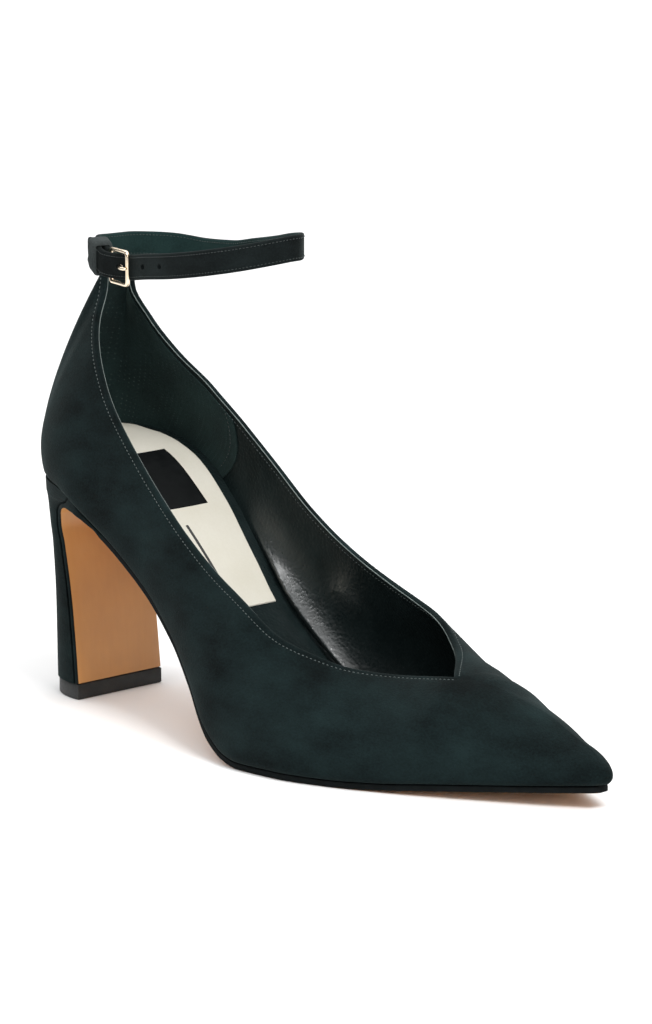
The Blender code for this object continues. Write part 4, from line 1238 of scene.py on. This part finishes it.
def rounded_section(front, back, outer, inner):
    """Outline with a flat front and a rounded back: front and back are (x, z)."""
    angle = np.linspace(0.0, np.pi, HEEL_RING + 1)
    power = 2.0 / HEEL_ROUNDNESS
    depth = np.sin(angle).clip(0.0) ** power
    across = np.sign(np.cos(angle)) * np.abs(np.cos(angle)) ** power
    y = np.where(across > 0, across * outer, -across * inner)
    x = front[0] + (back[0] - front[0]) * depth
    z = front[1] + (back[1] - front[1]) * depth
    return np.column_stack([x, y, z])


def stacked(rings):
    """Closed solid through the rings, each capped by strips across."""
    count = len(rings[0])
    points, faces = loft(rings, "open")
    end = (len(rings) - 1) * count
    for k in range((count - 1) // 2):
        strip = tuple(dict.fromkeys((k, k + 1, count - 2 - k, count - 1 - k)))
        faces.append(strip[::-1])
        faces.append(tuple(i + end for i in strip))
    return points, faces


def make_heel(finish):
    """Suede-covered block heel with its flat front behind the sole's flap."""
    steps = along(np.array(BREAST[:HEEL_TOP_ROW + 1]), HEEL_STEPS + 1)
    front = steps[:, :2] + (FLAP_THICK + 2 * GAP) * left_normals(steps)
    rings = [rounded_section(f, s[4:6], s[2], s[3]) for f, s in zip(front, steps)]
    cap = rounded_section((front[-1, 0] + SEAT_OVERHANG, 0.0), (steps[-1, 4], 0.0), *SEAT_HALF)
    cap[:, 2] = last_bottom(cap[:, 0]) - GAP
    obj = mesh_object("heel_cover", *stacked(rings + [cap]), [finish], sharp=35)
    bevel(obj, HEEL_BEVEL)
    wear(obj, "suede", "heel")


def make_top_lift(finish):
    """Wearing piece with eased edges."""
    x, _, outer, inner, back_x, _ = BREAST[0]
    rings = []
    lower = [(LIFT_BEVEL * level, LIFT_BEVEL * inset) for level, inset in LIFT_EASE]
    for level, inset in lower + [(LIFT_HEIGHT - LIFT_TOP_BEVEL, 0.0), (LIFT_HEIGHT, LIFT_TOP_BEVEL)]:
        front, back = (x - inset, level), (back_x + inset, level)
        rings.append(rounded_section(front, back, outer + inset, inner - inset))
    wear(mesh_object("heel_lift", *stacked(rings), [finish], sharp=50), "lift", "top_lift")


def strap_place(x):
    """Fine points along the strap's middle and the number of the first one past the given x."""
    line = along(STRAP_PATH, FINE_STRAP_STEPS)
    return line, int(np.argmax(line[:, 0] > x))


def strap_half_width(run):
    """Half the strap's width at a distance from its pointed end."""
    taper = np.sqrt(np.clip(run / STRAP_TIP, 0.0, 1.0))
    return 0.5 * (STRAP_TIP_WIDE + (STRAP_WIDE - STRAP_TIP_WIDE) * taper)


def strap_holes():
    """Closed bars through the strap where its holes go, the first long enough for the prong."""
    solids = []
    for number, x in enumerate(HOLE_X):
        line, i = strap_place(x)
        normal = left_normals(line[i - 1:i + 2])[1]
        long = PRONG_SLOT if number == 0 else HOLE_RADIUS
        angles = np.linspace(0.0, 2 * np.pi, HOLE_SIDES, endpoint=False)
        ring = [line[i] + np.array([normal[1] * long * np.cos(a), -normal[0] * long * np.cos(a),
                                    HOLE_RADIUS * np.sin(a)]) for a in angles]
        depth = np.array([*normal, 0.0]) * STRAP_THICK
        solids.append(loft([np.array(ring) - depth, np.array(ring) + depth]))
    return joined(solids)


def make_strap(shaders, thread_finish):
    """Ankle strap: suede outside, lined inside, with rounded edges, punched holes and edge stitching."""
    line = along(STRAP_PATH, STRAP_STEPS)
    normal = left_normals(line)
    half = strap_half_width(run_length(line))
    sections = []
    for point, (nx, ny), tall in zip(line, normal, half):
        outline = rounded_box((-0.5 * STRAP_THICK, -tall), (0.5 * STRAP_THICK, tall), STRAP_CORNER)
        sections.append([(point[0] + o * nx, point[1] + o * ny, point[2] + up) for o, up in outline])
    points, faces = loft(sections)
    count = len(sections[0])
    offset = rounded_box((-0.5 * STRAP_THICK, -1.0), (0.5 * STRAP_THICK, 1.0), STRAP_CORNER)[:, 0]
    lined = 0.5 * (offset + np.roll(offset, -1)) > STRAP_LINED * STRAP_THICK
    kinds = [int(lined[number % count]) for number in range(len(faces) - 2)] + [0, 0]
    obj = mesh_object("ankle_strap_leather", points, faces, shaders, kinds)
    punch = mesh_object("strap_punch", *strap_holes(), [shaders[0]])
    cut = obj.modifiers.new("holes", "BOOLEAN")
    cut.operation = "DIFFERENCE"
    cut.object = punch
    bpy.context.view_layer.update()
    finished = bpy.data.meshes.new_from_object(obj.evaluated_get(bpy.context.evaluated_depsgraph_get()))
    obj.modifiers.clear()
    obj.data = finished
    bpy.data.objects.remove(punch)
    sharpen(obj, 45)
    wear(obj, "suede", "ankle_strap")
    make_strap_stitches(line, normal, half, thread_finish)


def make_strap_stitches(line, normal, half, thread_finish):
    """Rows of stitches along both edges of the strap, outside and inside."""
    rows = []
    side = np.column_stack([normal, np.zeros(len(line))])
    for face in (-1.0, 1.0):
        for edge in (-1.0, 1.0):
            row = line + face * 0.5 * STRAP_THICK * side
            row[:, 2] += edge * (half - STRAP_STITCH_IN)
            rows.append(stitches(row[STRAP_STITCH_ENDS], face * side[STRAP_STITCH_ENDS],
                                 STRAP_PITCH, STRAP_STITCH, STRAP_THREAD))
    wear(mesh_object("strap_stitches", *joined(rows), [thread_finish]), "suede")


def keeper_sway(height):
    """How far the loop's back edge lies forward at a height from -1 to 1, as a share of its sway."""
    bulges = [share * np.exp(-((height - middle) / wide) ** 2) for middle, wide, share in KEEPER_BULGES]
    return 1.0 - sum(bulges)


def make_keeper(finish):
    """Loop around both layers of the strap, with rounded corners and eased edges."""
    line, first = strap_place(KEEPER_FROM_X)
    last = strap_place(KEEPER_TO_X)[1]
    line = line[np.linspace(first, last, KEEPER_STEPS).astype(int)]
    normal = left_normals(line)
    free = 0.5 * STRAP_THICK + GAP
    hole = (-free, LAYER_SPACING + free)
    tall = 0.5 * STRAP_WIDE + GAP
    sections = []
    order = list(range(KEEPER_STEPS))
    for outward, steps in ((True, order), (False, order[::-1])):
        for i in steps:
            ends = min(i, KEEPER_STEPS - 1 - i)
            grow = KEEPER_THICK if outward else 0.0
            if outward and ends == 0:
                grow -= KEEPER_ROUND
            corner = KEEPER_CORNER if outward else KEEPER_CORNER - KEEPER_THICK
            outline = rounded_box((hole[0] - grow, -tall - grow), (hole[1] + grow, tall + grow), corner,
                                  arc_steps=KEEPER_ARC_STEPS)
            place, level, side = line[i, :2], line[i, 2], normal[i]
            sway = KEEPER_SWAY * (1.0 - i / (KEEPER_STEPS - 1.0)) * np.array([side[1], -side[0]])
            sections.append([(*(place + off * side + keeper_sway(up / tall) * sway), level + up)
                             for off, up in outline])
    obj = mesh_object("strap_keeper_loop", *loft(sections, "joined"), [finish], sharp=50)
    wear(obj, "suede", "strap_keeper")


def buckle_line():
    """Middle line of the buckle's four bars, with rounded corners."""
    back, front = np.array(BUCKLE_BACK), np.array(BUCKLE_FRONT)
    long = np.linalg.norm(front - back)
    run = (front - back) / long
    outline = rounded_box((0.0, -0.5 * BUCKLE_TALL), (long, 0.5 * BUCKLE_TALL), BUCKLE_CORNER,
                          arc_steps=BUCKLE_CORNER_STEPS)
    return [(*(back + s * run), BUCKLE_MID_Z + z) for s, z in outline]


def prong_line():
    """Prong from the back bar, through its hole in the strap, to a rest on the front bar."""
    line, i = strap_place(HOLE_X[0])
    x, y, z = line[i]
    side = STRAP_THICK / 2 + GAP + PRONG_RADIUS
    rest = BUCKLE_FRONT[1] - BUCKLE_BAR - GAP - PRONG_RADIUS
    points = [(BUCKLE_BACK[0] + BUCKLE_BAR + GAP, y + side, z), (x - PRONG_SLANT, y + side, z),
              (x, y, z), (x + PRONG_SLANT, y - side, z),
              (BUCKLE_FRONT[0] - GAP, rest, z), (BUCKLE_FRONT[0] + PRONG_PAST_BAR, rest, z)]
    return along(points, PRONG_STEPS)


def make_buckle(finish):
    """Polished frame and prong."""
    wear(mesh_object("buckle_bars", *rod(buckle_line(), BUCKLE_BAR, closed=True), [finish]),
         "buckle_metal", "buckle_frame")
    line = prong_line()
    radius = PRONG_RADIUS * np.ones(len(line))
    radius[:len(PRONG_START)] *= PRONG_START
    radius[-len(PRONG_END):] *= PRONG_END
    wear(mesh_object("buckle_tongue", *rod(line, radius), [finish]), "buckle_metal", "buckle_prong")


# Floor, light and camera

def stand(obj, at, aim):
    """Puts a lamp or the camera in its place, turned to its aim."""
    obj.location = at
    obj.rotation_euler = (Vector(aim) - Vector(at)).to_track_quat("-Z", "Y").to_euler()


def make_stage():
    """Plain pale floor, a little light all round and soft panels of light."""
    floor = bpy.data.meshes.new("floor")
    corners = [(FLOOR_HALF * x, FLOOR_HALF * y, 0) for x, y in ((-1, -1), (1, -1), (1, 1), (-1, 1))]
    floor.from_pydata(corners, [], [(0, 1, 2, 3)])
    finish = Finish("floor_white", colour=(FLOOR_TONE, FLOOR_TONE, FLOOR_TONE, 1.0), rough=0.7, gloss=0.2)
    floor.materials.append(finish.material)
    obj = add_object("floor", floor)
    world = bpy.data.worlds.new("studio")
    world.use_nodes = True
    light = world.node_tree.nodes["Background"].inputs
    light["Color"].default_value = (1.0, 1.0, 1.0, 1.0)
    light["Strength"].default_value = WORLD_LIGHT
    bpy.context.scene.world = world
    for name, at, aim, size, power in LIGHTS:
        lamp = bpy.data.lights.new(name, "AREA")
        lamp.size = size
        lamp.energy = power
        stand(add_object(name, lamp), at, aim)


def make_camera():
    """The photograph's view of the shoe."""
    data = bpy.data.cameras.new("camera")
    data.lens = CAMERA_LENS
    data.sensor_width = CAMERA_SENSOR
    camera = add_object("camera", data)
    stand(camera, CAMERA_AT, CAMERA_AIM)
    bpy.context.scene.camera = camera


def main():
    make_camera()
    make_stage()
    bpy.context.scene.view_settings.view_transform = "Standard"
    outside = suede("suede")
    black = lining_leather()
    inside = grip_suede()
    sewing = thread("sewing_thread")
    pale_edge = edge_finish("cut_edge")
    upper = Upper()
    rim = make_upper(upper, [outside, black])
    make_topline_trim(upper, rim, sewing, pale_edge)
    make_quarter_stitches(upper, sewing)
    fine_thread = thread("fine_thread")
    make_heel_grip(upper, inside, fine_thread)
    make_insole(upper, black)
    patch = edge_finish("patch_leather", gloss=0.08)
    dark_line = edge_finish("line_dark")
    pale_line = edge_finish("line_pale")
    make_sock(upper, sock_leather(), patch, dark_line, pale_line)
    dark_edge = edge_finish("sole_edge", rough=0.7, gloss=0.08)
    make_outsole([sole_leather(), dark_edge, outside])
    make_heel(outside)
    make_top_lift(hard_rubber())
    strap_outside = suede("strap_suede")
    strap_lining = suede("strap_lining")
    make_strap([strap_outside, strap_lining], fine_thread)
    make_keeper(suede("keeper_suede"))
    make_buckle(gold())


main()
